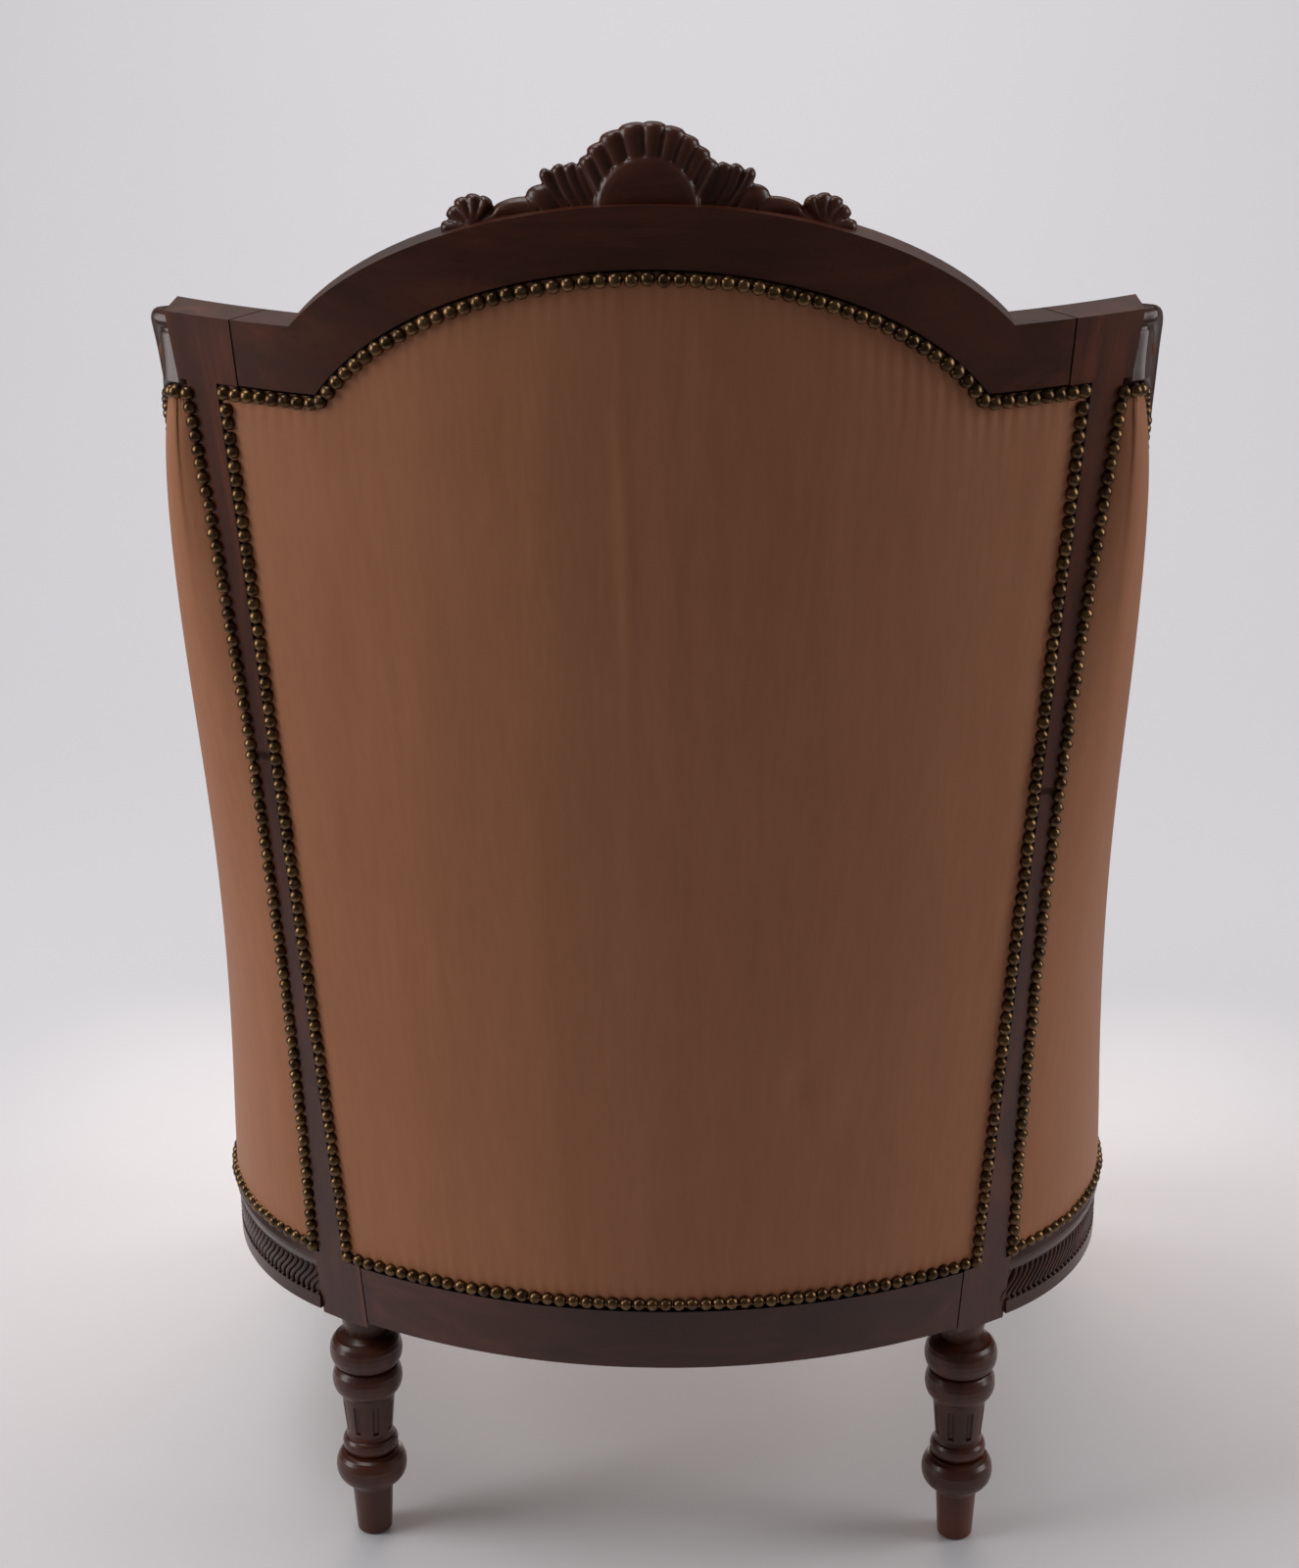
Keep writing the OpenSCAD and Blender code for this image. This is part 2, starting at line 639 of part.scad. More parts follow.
module front_seat_rail() {
    half = front_leg[0] - block_w / 2;
    bow_r = (half * half + front_bow * front_bow) / (2 * front_bow);
    turn = 2 * asin(front_leg[0] / bow_r);
    color(wood_dark)
        difference() {
            translate([0, front_y + bow_r, 0])
                rotate([0, 0, -90 - turn / 2])
                    rotate_extrude(angle = turn, $fn = 8 * round_fn)
                        polygon(rail_section(bow_r));
            left_and_right()
                translate([half, 2 * front_y, rail_bottom - overrun])
                    cube([2 * block_w, 2 * half_depth, rail_h + 2 * overrun]);
            dowels(bore_play);
            block_screw_set(bore_play);
        }
}
// Front leg: a square block with a turned rosette, and the same turning under it
rosette_r = 0.36 * block_w;
rosette_t = 0.08 * block_w;
module rosette() {
    rotate_extrude($fn = 48)
        polygon([[0, 0], [rosette_r, 0], [rosette_r, 0.5 * rosette_t],
            [0.9 * rosette_r, 0.8 * rosette_t], [0.78 * rosette_r, 0.6 * rosette_t],
            [0.72 * rosette_r, 0.25 * rosette_t], [0.35 * rosette_r, 0.4 * rosette_t],
            [0.3 * rosette_r, rosette_t], [0, 1.2 * rosette_t]]);
}
module front_leg_left() {
    block_h = rail_show_top - block_bottom;
    color(wood_dark)
        difference() {
            union() {
                translate([front_leg[0] - block_w / 2, front_leg[1] - block_w / 2, block_bottom])
                    cube([block_w, block_w, block_h]);
                translate([front_leg[0], front_leg[1], 0]) turned_leg();
                translate([front_leg[0], front_leg[1] - block_w / 2 + overrun,
                    block_bottom + block_h / 2])
                    rotate([90, 0, 0]) rosette();
                translate([front_leg[0] + block_w / 2 - overrun, front_leg[1],
                    block_bottom + block_h / 2])
                    rotate([0, 90, 0]) rosette();
            }
            dowels(bore_play);
        }
}

// Wing rail and arm: a moulded section along one curve that swoops down from the post
nose_h = 0.3 * wing_face_h;
notch = 0.04 * wing_t;
bevel = 0.05 * wing_t;
wing_profile = [
    [0, 0], [0, wing_face_h - 1.08 * nose_h],
    [-notch, wing_face_h - nose_h], [-notch, wing_face_h - 0.85 * nose_h],
    [0.7 * nose_reach, wing_face_h - 0.7 * nose_h], [nose_reach, wing_face_h - 0.4 * nose_h],
    [0.6 * nose_reach, wing_face_h - 0.1 * nose_h], [-bevel, wing_face_h],
    [bevel - wing_t, wing_face_h], [-wing_t, wing_face_h - bevel],
    [-wing_t, bevel], [bevel - wing_t, 0]];
wing_steps = 4;
// The rail's first sections all face the way it leads once it has left the post
wing_turned = 3 * wing_steps - 1;
wing_line = spline(wing_points, 0, arm_end, wing_steps);
module wing_rail_left() {
    inside_post = wing_line[0] - 2 * wing_step;
    color(wood_dark)
        difference() {
            loft(concat(
                [placed(wing_profile, inside_post, along(wing_line, wing_turned))],
                [for (i = [0:arm_joint * wing_steps])
                    placed(wing_profile, wing_line[i], along(wing_line, max(i, wing_turned)))]));
            intersection() {
                back_shell(wing_under - frame_t, shoulder_h + overrun, -2 * nose_reach,
                    frame_t + 2 * nose_reach + 2 * gap);
                seen_from_behind(back_r_top)
                    post_outline(wing_under - frame_t, shoulder_h + overrun, gap / 2);
            }
        }
}
scroll_place = wing_points[arm_end]
    + [-wing_t / 2, -0.2 * scroll_r, wing_face_h - 0.93 * scroll_r];
module arm_left() {
    color(wood_dark)
        union() {
            loft([for (i = [arm_joint * wing_steps:len(wing_line) - 1])
                placed(wing_profile, wing_line[i], along(wing_line, i))]);
            intersection() {
                translate(scroll_place) rotate([0, 90, 0]) {
                    cylinder(h = 1.1 * wing_t, r = scroll_r, center = true, $fn = 64);
                    cylinder(h = 1.25 * wing_t, r = 0.4 * scroll_r, center = true, $fn = 48);
                }
                translate([0, 2 * front_y, arm_under_h + gap])
                    cube([2 * arm_half_w, 4 * half_depth, 2 * wing_face_h]);
            }
        }
}

// Arm support: an S-curved piece from the seat frame up to the arm's scroll
support_path_shares = [
    [-0.50, 0.50, 0.00], [-0.42, 0.62, 0.12], [-0.20, 0.52, 0.32], [0.10, 0.10, 0.55],
    [0.50, -0.62, 0.77], [0.86, -1.40, 0.93], [1.00, -1.75, 1.00]];
support_foot = [side_x(front_leg[1]), front_leg[1] - 0.25 * block_w, rail_show_top];
support_top = arm_under_h - gap;
support_spread = wing_points[arm_end][0] - support_foot[0];
support_reach = 0.47 * (wing_points[arm_end][1] - support_foot[1]);
support_points = [for (s = support_path_shares)
    [support_foot[0] + (s[0] * 0.5 + 0.5) * support_spread,
        support_foot[1] + (0.6 - s[1]) * support_reach,
        support_foot[2] + s[2] * (support_top - support_foot[2])]];
support_round = 0.15 * support_w;
support_profile = [
    [0, support_round], [0, support_t - support_round], [-support_round, support_t],
    [support_round - support_w, support_t], [-support_w, support_t - support_round],
    [-support_w, support_round], [support_round - support_w, 0], [-support_round, 0]];
support_steps = 4;
module arm_support_left() {
    color(wood_dark)
        loft([for (p = support_line)
            [for (q = support_profile) p + [q[0], q[1] - support_t / 2, 0]]]);
}

// Outside of the chair's side, as a patch between the seat rail, the wing rail and arm,
// the post's edge (u = 0) and the arm support's rear edge (u = 1)
function low_edge(u) =
    let (z = rail_show_top, a0 = block_end_angle, turn = corner_end - a0,
        bend = corner_r * turn * PI / 180, run = side_start_y - side_front_y,
        s = u * (bend + run))
    s < bend
        ? [corner_x + corner_r * sin(a0 + s / bend * turn),
            corner_y + corner_r * cos(a0 + s / bend * turn), z]
        : [side_x(side_start_y - (s - bend)), side_start_y - (s - bend), z];
side_front_y = support_points[0][1] + support_t / 2 + gap;
function high_edge(u) = spline_at(wing_points, 0, arm_end - 0.3, u);
function rear_edge(v) =
    let (z = rail_show_top + v * (wing_under - rail_show_top))
    [edge_x(z) + gap, edge_y(z), z];
support_line = spline(support_points, 0, len(support_points) - 1, support_steps);
support_x_at = [for (p = support_line) [p[2], p[0]]];
support_y_at = [for (p = support_line) [p[2], p[1]]];
function front_edge(v) =
    let (z = rail_show_top + v * (high_edge(1)[2] - rail_show_top))
    [lookup(z, support_x_at), lookup(z, support_y_at) + support_t / 2 + gap, z];
function side_patch(u, v) =
    (1 - v) * low_edge(u) + v * high_edge(u)
    + (1 - u) * (rear_edge(v) - (1 - v) * low_edge(0) - v * high_edge(0))
    + u * (front_edge(v) - (1 - v) * low_edge(1) - v * high_edge(1));
delta = 0.01;
function inside_unit(t) = min(max(t, delta), 1 - delta);
function side_normal(u, v) =
    let (a = inside_unit(u), b = inside_unit(v),
        du = side_patch(a + delta, b) - side_patch(a - delta, b),
        dv = side_patch(a, b + delta) - side_patch(a, b - delta))
    unit(cross(dv, du));
function side_in(u, v, depth) =
    let (p = side_patch(u, v) - side_normal(u, v) * depth)
    u > 0 ? p : clear_of_post(p, unit(side_patch(delta, v) - side_patch(0, v)));
// A cover's edge is moved along the cover until it clears the post's bare edge
function clear_of_post(p, t) = p + t * max(0, edge_x(p[2]) + gap - p[0]) / t[0];
patch_u = 24;
patch_v = 6;
function not_under(p, low) = [p[0], p[1], max(p[2], low)];
// Part of the side between two shares of its length and height, its top a drop lower
module side_solid(u_ends, v_ends, drop, depths, rows, low) {
    u_span = u_ends[1] - u_ends[0];
    loft([for (i = [0:patch_u]) let (s = i / patch_u, u = u_ends[0] + u_span * s,
            v_span = v_ends[1] - drop / (high_edge(u)[2] - rail_show_top) - v_ends[0])
        concat(
            [for (j = [0:rows]) let (t = j / rows)
                not_under(side_in(u, v_ends[0] + v_span * t, depths[0]), low)],
            [for (j = [rows:-1:0]) let (t = j / rows, puff = crown(s) * crown(t))
                not_under(side_in(u, v_ends[0] + v_span * t,
                    depths[1] + (depths[2] - depths[1]) * puff), low)])]);
}
// Rises from nothing at both ends to a flat middle
function crown(t) = 1 - pow(abs(2 * t - 1), 3);
side_span = wing_under - rail_show_top;
cover_v = [cover_rise / side_span, 1];
module outside_side_cover_left() {
    color(satin)
        side_solid([0, 1], cover_v, cover_drop,
            [cover_set_in, cover_set_in + cover_t, cover_set_in + cover_t],
            patch_v, rail_show_top + gap);
}
side_pad_u = [0.012, 0.97];
side_pad_v = [0.072, 1.02];
module inside_side_pad_left() {
    color(satin)
        side_solid(side_pad_u, side_pad_v, 0,
            [frame_t + side_pad_clear, frame_t + side_pad_edge, frame_t + side_pad_mid],
            patch_v, deck_h + pad_clear);
}

// Covers and stuffing of the back
module outside_back_cover() {
    z0 = rail_show_top + cover_rise;
    color(satin)
        intersection() {
            back_shell(z0, arch_top, cover_set_in, cover_t);
            seen_from_behind(back_r_top)
                intersection() {
                    opening_outline(gap);
                    polygon([for (p = [[-1, z0], [-1, arch_top], [1, arch_top], [1, z0]])
                        [p[0] * (r_back(p[1]) * sin(show_angle) - gap), p[1]]]);
                }
        }
}
web_w = 50;
web_t = 1.6;
back_pad_in = frame_t + web_t + 3 * gap;
back_u = 20;
back_v = 12;
back_pad_bottom = deck_h + pad_clear;
pad_angle = joint_angle + 2.2;
function pad_top(x) = max(shoulder_h - 0.55 * shoulder_rail_h,
    ellipse_z(crest_a - 0.4 * crest_rail_h, crest_b, crest_h - 0.45 * crest_rail_h, x));
function on_back(a, z, depth) =
    [(r_back(z) - depth) * sin(a), axis_y + (r_back(z) - depth) * cos(a), z];
module inside_back_pad() {
    color(satin)
        loft([for (i = [0:back_u]) let (s = i / back_u, a = pad_angle * (2 * s - 1),
            top = pad_top((back_r_top - frame_t) * sin(a)))
            concat(
                [for (j = [0:back_v]) on_back(a, back_pad_bottom
                    + (top - back_pad_bottom) * j / back_v, back_pad_in)],
                [for (j = [back_v:-1:0]) let (t = j / back_v, puff = crown(s) * crown(t))
                    on_back(a, back_pad_bottom + (top - back_pad_bottom) * t,
                        back_pad_in + back_pad_edge
                        + (back_pad_mid - back_pad_edge) * puff)])]);
}
module back_webbing() {
    z0 = back_tack_h + 0.2 * web_w;
    z1 = arch_foot - 0.1 * web_w;
    half = r_back(z0) * sin(joint_angle);
    color(jute)
        intersection() {
            back_shell(z0, z1, frame_t + gap, web_t);
            wedge(-corner_start + 2, corner_start - 2, z0, z1);
            seen_from_behind(back_r_top) {
                for (i = [-2:2])
                    translate([i * 0.4 * half - web_w / 2, z0]) square([web_w, z1 - z0]);
                for (i = [0:3])
                    translate([-back_r_top, z0 + (z1 - z0) * (i + 0.5) / 4 - web_w / 2])
                        square([2 * back_r_top, web_w]);
            }
        }
}
// Rails low in the back and the sides that the inside covers are tacked to
tack_h = 28;
tack_t = 22;
tack_rise = 46;
back_tack_h = rail_top + tack_rise;
module back_tacking_rail() {
    color(wood_plain)
        intersection() {
            back_shell(back_tack_h - tack_h / 2, back_tack_h + tack_h / 2,
                frame_t - tack_t, tack_t);
            wedge(-joint_angle, joint_angle, 0, shoulder_h);
        }
}
tack_u = [0.086, 0.998];
module side_tacking_rail_left() {
    low = back_tack_h - tack_h / 2;
    color(wood_plain)
        side_solid(tack_u, [for (z = [low, low + tack_h]) (z - rail_show_top) / side_span], 0,
            [frame_t - tack_t, frame_t - pad_clear, frame_t - pad_clear], 1, 0);
}

// Corner blocks inside the seat frame, each held by two screws
block_leg = 92;
block_zone_h = 38;
block_rise = 3;
// Distance in to the seat frame's inner face, which leans with the back
frame_inside = rail_t + gap + rail_show_h * back_slope;
module corner_block(place, turn) {
    color(wood_plain)
        difference() {
            translate([0, 0, rail_bottom + block_rise]) linear_extrude(block_zone_h)
                intersection() {
                    difference() {
                        plan_area(frame_inside, frame_inside, overrun);
                        leg_keep_out();
                    }
                    translate(place) rotate([0, 0, turn])
                        square([block_leg, block_leg], center = true);
                }
            block_screw_set(bore_play);
        }
}
module leg_keep_out() {
    left_and_right() {
        translate([front_leg[0] - block_w / 2 - gap, front_leg[1] - block_w / 2])
            square([block_w, block_w + gap]);
        translate(rear_leg) rotate([0, 0, -leg_angle])
            translate([-block_w / 2, -block_t / 2 - gap]) square([block_w, block_t]);
    }
}
module rear_corner_block_left() {
    corner_block(rear_leg, -leg_angle);
}
module front_corner_block_left() {
    corner_block(front_leg, 45);
}
screw_len = 52;
screw_head_r = 4.2;
screw_head_h = 2.6;
module block_screw_set(extra) {
    z = rail_bottom + block_rise + block_zone_h / 2;
    left_and_right() {
        screw_at([front_leg[0] - 0.95 * block_w, front_leg[1] + 0.1 * block_w, z], 0, extra);
        screw_at([front_leg[0] - 0.2 * block_w, front_leg[1] + 0.85 * block_w, z], 90, extra);
        screw_at([rear_leg[0] - 0.75 * block_w, rear_leg[1] - 0.25 * block_w, z],
            180 - 0.8 * leg_angle, extra);
        screw_at([rear_leg[0] + 0.35 * block_w, rear_leg[1] - 0.95 * block_w, z],
            90 + 0.9 * leg_angle, extra);
    }
}
// A screw whose point leads away from -Y, turned about the vertical
module screw_at(place, turn, extra) {
    translate(place) rotate([0, 0, turn]) rotate([90, 0, 0]) {
        translate([0, 0, -screw_head_h])
            cylinder(h = screw_head_h, r = screw_head_r + extra, $fn = bore_fn);
        translate([0, 0, -screw_head_h])
            cylinder(h = screw_len / 2 + screw_head_h, r = screw_r + extra, $fn = bore_fn);
    }
}
module block_screws() {
    color(steel) block_screw_set(0);
}
module rail_dowels() {
    color(wood_plain) dowels(0);
}

// Webbing under the seat, springs on it, and the stuffed platform over them
web_half_w = corner_x + corner_r - rail_t / 2;
module seat_webbing() {
    color(jute)
        translate([0, 0, rail_bottom + 2 * gap])
            linear_extrude(web_t)
                intersection() {
                    difference() {
                        plan_area(frame_inside, frame_inside, overrun);
                        leg_keep_out();
                        corner_keep_out();
                    }
                    union() {
                        for (i = [-2:2])
                            translate([i * 2.1 * web_w - web_w / 2, -half_depth])
                                square([web_w, 2 * half_depth]);
                        for (i = [-2:2])
                            translate([-web_half_w, i * 2 * web_w - web_w / 2 - web_w / 3])
                                square([2 * web_half_w, web_w]);
                    }
                }
}
module corner_keep_out() {
    left_and_right() {
        translate(front_leg) rotate([0, 0, 45])
            square([block_leg + gap, block_leg + gap], center = true);
        translate(rear_leg) rotate([0, 0, -leg_angle])
            square([block_leg + gap, block_leg + gap], center = true);
    }
}
spring_base = rail_bottom + 2 * gap + web_t + gap;
spring_top = deck_h - 0.65 * (deck_h - rail_show_top);
spring_pitch = 2.1 * web_w;
curl_rings = 8;
wire_sides = 6;
function spring_path() =
    let (n = spring_turns * curl_rings, h = spring_top - spring_base - 2 * spring_wire_r)
    [for (i = [0:n]) let (t = i / n, a = 360 * spring_turns * t,
        r = spring_waist_r + (spring_r - spring_waist_r) * pow(abs(2 * t - 1), 1.5))
        [r * cos(a), r * sin(a), spring_base + spring_wire_r + h * t]];
module seat_spring() {
    path = spring_path();
    ring = [for (j = [0:wire_sides - 1]) let (a = 360 * (j + 0.5) / wire_sides)
        spring_wire_r * [cos(a), sin(a)]];
    sweep(ring, path);
}
module seat_springs() {
    color(steel)
        for (i = [-1:1]) for (j = [-1:1])
            translate([i * spring_pitch, j * 2 * web_w - web_w / 3, 0]) seat_spring();
}
// Least distance between a spring's neighbouring turns, less the wire
spring_gap = min([for (i = [0:(spring_turns - 1) * curl_rings])
    norm(spring_path()[i + curl_rings] - spring_path()[i])]) - 2 * spring_wire_r;
echo(least_spring_gap = spring_gap);

module soft_stack(rings) {
    n = len(rings[0]);
    k = len(rings);
    polyhedron([for (r = rings) each r],
        concat(side_faces(k, n), [[for (j = [0:n - 1]) j]],
            [[for (j = [n - 1:-1:0]) (k - 1) * n + j]]));
}
deck_inset = 39;
deck_front = 12;
deck_round = 90;
deck_slope_w = 24;
module seat_deck() {
    z0 = spring_top + gap;
    h = deck_h - gap - z0;
    // Distance further in as a share of the slope's width, and share of the height,
    // from the underside up to the top
    deck_rings = [[0.1, 0], [0, 0.2], [0, 0.5], [0.3, 0.75], [1, 0.95], [2.2, 1]];
    color(satin)
        soft_stack([for (s = deck_rings)
            plan_ring(deck_inset + s[0] * deck_slope_w, deck_front + 0.5 * s[0] * deck_slope_w,
                deck_round, z0 + s[1] * h)]);
}
module bottom_cloth() {
    color(lining)
        translate([0, 0, rail_bottom - 3 * gap])
            linear_extrude(2 * gap)
                difference() {
                    plan_area(rail_t / 2, rail_t / 2, overrun);
                    offset_leg_area();
                }
}
module offset_leg_area() {
    left_and_right() {
        translate([front_leg[0] - block_w / 2 - gap, 2 * front_y])
            square([2 * block_w, front_leg[1] + block_w / 2 + gap - 2 * front_y]);
        translate(rear_leg) rotate([0, 0, -leg_angle])
            translate([-block_w / 2, -block_t / 2 - gap]) square([2 * block_w, 2 * block_t]);
    }
}
// Loose cushion with a boxed border that is drawn in at its seams
cushion_z = deck_h + gap;
cushion_edge_share = 0.74;
cushion_rings = [[0.40, 0.00], [0.16, 0.02], [0.04, 0.06], [0.00, 0.10], [-0.05, 0.30],
    [-0.06, 0.42], [-0.05, 0.54], [0.00, 0.73], [0.04, 0.78], [0.18, 0.86], [0.42, 0.935],
    [0.72, 0.98], [1.00, 1.00]];
cushion_crown_w = 105;
cushion_front = 7;
cushion_round = 42;
module seat_cushion() {
    color(satin)
        soft_stack([for (s = cushion_rings)
            plan_ring(cushion_inset + s[0] * cushion_crown_w,
                cushion_front + max(0, 0.06 + s[0]) * cushion_crown_w,
                cushion_round, cushion_z + s[1] * cushion_t)]);
}
// Padded top of the arm
arm_pad_first = arm_joint - 0.6;
arm_pad_last = arm_end - 0.7;
pad_steps = 12;
pad_sides = 9;
module arm_pad_left() {
    color(satin)
        loft([for (i = [0:pad_steps])
            let (t = i / pad_steps, s = arm_pad_first + (arm_pad_last - arm_pad_first) * t,
                k = min(floor(s), arm_end - 1),
                p = spline_point(wing_points, k, s - k),
                q = spline_point(wing_points, k, min(s - k + delta, 1)),
                o = spline_point(wing_points, k, max(s - k - delta, 0)),
                d = unit(q - o), swell = 0.35 + 0.65 * sqrt(max(0, crown(t))))
            placed([for (k = [0:pad_sides]) let (a = 180 * (1 - k / pad_sides))
                [-wing_t / 2 + 0.44 * wing_t * swell * cos(a),
                    wing_face_h + gap + arm_pad_t * swell * sin(a)]], p, d)]);
}

rear_post_left();
mirror([1, 0, 0]) rear_post_left();  // rear_post_right
crest_rail();
crest_carving();
rear_seat_rail();
side_seat_rail_left();
mirror([1, 0, 0]) side_seat_rail_left();  // side_seat_rail_right
front_seat_rail();
front_leg_left();
mirror([1, 0, 0]) front_leg_left();  // front_leg_right
wing_rail_left();
mirror([1, 0, 0]) wing_rail_left();  // wing_rail_right
arm_left();
mirror([1, 0, 0]) arm_left();  // arm_right
arm_support_left();
mirror([1, 0, 0]) arm_support_left();  // arm_support_right
back_tacking_rail();
side_tacking_rail_left();
mirror([1, 0, 0]) side_tacking_rail_left();  // side_tacking_rail_right
rear_corner_block_left();
mirror([1, 0, 0]) rear_corner_block_left();  // rear_corner_block_right
front_corner_block_left();
mirror([1, 0, 0]) front_corner_block_left();  // front_corner_block_right
block_screws();
rail_dowels();
seat_webbing();
seat_springs();
seat_deck();
bottom_cloth();
back_webbing();
outside_back_cover();
inside_back_pad();
outside_side_cover_left();
mirror([1, 0, 0]) outside_side_cover_left();  // outside_side_cover_right
inside_side_pad_left();
mirror([1, 0, 0]) inside_side_pad_left();  // inside_side_pad_right
arm_pad_left();
mirror([1, 0, 0]) arm_pad_left();  // arm_pad_right
seat_cushion();
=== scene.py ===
import math

import bmesh
import bpy
import numpy as np
from mathutils import Matrix, Vector
from mathutils.bvhtree import BVHTree


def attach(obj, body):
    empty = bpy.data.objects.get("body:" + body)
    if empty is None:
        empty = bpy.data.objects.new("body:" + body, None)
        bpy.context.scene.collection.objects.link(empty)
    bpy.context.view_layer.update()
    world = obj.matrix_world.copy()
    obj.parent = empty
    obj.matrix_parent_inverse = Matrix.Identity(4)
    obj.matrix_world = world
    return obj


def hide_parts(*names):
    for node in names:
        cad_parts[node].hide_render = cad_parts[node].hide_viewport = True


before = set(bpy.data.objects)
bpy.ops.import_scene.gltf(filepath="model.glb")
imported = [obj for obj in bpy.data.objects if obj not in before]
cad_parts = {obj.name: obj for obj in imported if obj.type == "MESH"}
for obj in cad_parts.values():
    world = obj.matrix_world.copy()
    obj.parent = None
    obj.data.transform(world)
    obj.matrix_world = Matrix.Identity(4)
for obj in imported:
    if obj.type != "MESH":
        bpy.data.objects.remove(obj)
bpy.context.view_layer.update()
scene = bpy.context.scene

# The studio: a pale paper sweep that lies under the chair and rises far behind it. It is
# white paper in soft light, and no part of the chair. Glossy rays find it dim away from the
# chair, so that the polished wood reflects a dark room.
class Value:
    """A shader socket that Python's operators build Math nodes from."""

    def __init__(self, finish, socket):
        self.finish = finish
        self.socket = socket

    def math(self, operation, first, second=0.0):
        return self.finish.add("ShaderNodeMath", {"operation": operation},
                               {0: first, 1: second})

    def __add__(self, other):
        return self.math("ADD", self, other)

    def __radd__(self, other):
        return self.math("ADD", other, self)

    def __sub__(self, other):
        return self.math("SUBTRACT", self, other)

    def __rsub__(self, other):
        return self.math("SUBTRACT", other, self)

    def __mul__(self, other):
        return self.math("MULTIPLY", self, other)

    def __rmul__(self, other):
        return self.math("MULTIPLY", other, self)

    def __truediv__(self, other):
        return self.math("DIVIDE", self, other)

    def __pow__(self, other):
        return self.math("POWER", self, other)


class Finish:
    """A material whose nodes are added one at a time."""

    def __init__(self, name, attribute=None):
        self.attribute = attribute
        self.material = bpy.data.materials.new(name)
        self.material.use_nodes = True
        self.nodes = self.material.node_tree.nodes
        self.links = self.material.node_tree.links
        self.surface = self.nodes["Principled BSDF"]

    def put(self, socket, value):
        if isinstance(value, Value):
            self.links.new(value.socket, socket)
        elif socket.type == "RGBA" and len(value) == 3:
            socket.default_value = (*value, 1.0)
        else:
            socket.default_value = value

    def add(self, kind, settings, sockets, output=0):
        node = self.nodes.new(kind)
        for key, value in settings.items():
            if key == "stops":
                ramp = node.color_ramp
                while len(ramp.elements) < len(value):
                    ramp.elements.new(0.5)
                for element, (place, colour) in zip(ramp.elements, value):
                    element.position = place
                    element.color = (*colour, 1.0)
            else:
                setattr(node, key, value)
        for key, value in sockets.items():
            self.put(node.inputs[key], value)
        return Value(self, node.outputs[output])

    def place(self, scale=(1, 1, 1)):
        if self.attribute:
            at = self.add("ShaderNodeAttribute", {"attribute_name": self.attribute}, {},
                          "Vector")
        else:
            at = self.add("ShaderNodeTexCoord", {}, {}, "Object")
        return self.add("ShaderNodeMapping", {}, {"Vector": at, "Scale": scale})

    def axes(self):
        at = self.place()
        return [self.add("ShaderNodeSeparateXYZ", {}, {"Vector": at}, axis) for axis in "XYZ"]

    def noise(self, at, scale, detail, rough, distortion=0.0):
        return self.add("ShaderNodeTexNoise", {},
                        {"Vector": at, "Scale": scale, "Detail": detail,
                         "Roughness": rough, "Distortion": distortion}, "Fac")

    def ramp(self, value, stops):
        return self.add("ShaderNodeValToRGB", {"stops": stops}, {"Fac": value})

    def steps(self, value, low, high):
        return self.add("ShaderNodeMapRange", {"interpolation_type": "SMOOTHSTEP"},
                        {"Value": value, "From Min": low, "From Max": high})

    def blend(self, share, first, second):
        return self.add("ShaderNodeMix", {"data_type": "RGBA"},
                        {0: share, 6: first, 7: second}, 2)

    def bump(self, height, depth, strength):
        return self.add("ShaderNodeBump", {},
                        {"Height": height, "Distance": depth, "Strength": strength})

    def finish(self, **sockets):
        for key, value in sockets.items():
            self.put(self.surface.inputs[key.replace("_", " ")], value)
        return self.material


def placed(name, mesh):
    made = bpy.data.objects.new(name, mesh)
    scene.collection.objects.link(made)
    return made


def mesh_object(name, points, faces, material, crease=40):
    mesh = bpy.data.meshes.new(name)
    mesh.from_pydata([tuple(p) for p in points], [], [tuple(f) for f in faces])
    mesh.validate()
    mesh.calc_loop_triangles()
    corners = np.array([t.vertices for t in mesh.loop_triangles])
    a, b, c = (np.array([tuple(v.co) for v in mesh.vertices])[corners[:, k]] for k in range(3))
    if (a * np.cross(b, c)).sum() < 0:
        mesh.flip_normals()
    mesh.shade_smooth()
    mesh.set_sharp_from_angle(angle=math.radians(crease))
    mesh.materials.append(material)
    return placed(name, mesh)


paper = Finish("studio_paper")
glossy = paper.add("ShaderNodeLightPath", {}, {}, "Is Glossy Ray")
x, y, z = paper.axes()
far = paper.steps((x * x + y * y) ** 0.5, 0.8, 1.7)
dim = paper.blend(paper.steps(z, 0.5, 2.0), (0.14, 0.13, 0.13), (0.22, 0.215, 0.21))
paper.finish(Base_Color=paper.blend(glossy * far, (0.64, 0.625, 0.645), dim), Roughness=0.9)
half_width, near, bend_starts, bend_r, top, bend_steps = 7.0, 4.5, -1.6, 2.2, 6.0, 12
sweep_profile = [(near, 0.0), (bend_starts, 0.0)]
for step in range(1, bend_steps + 1):
    bend = math.radians(90 * step / bend_steps)
    sweep_profile.append((bend_starts - bend_r * math.sin(bend),
                          bend_r - bend_r * math.cos(bend)))
sweep_profile.append((bend_starts - bend_r, top))
points, faces = [], []
for y, z in sweep_profile:
    points += [(-half_width, y, z), (half_width, y, z)]
for i in range(len(sweep_profile) - 1):
    faces.append((2 * i, 2 * i + 1, 2 * i + 3, 2 * i + 2))
sweep = mesh_object("studio_sweep", points, faces, paper.material, 60)

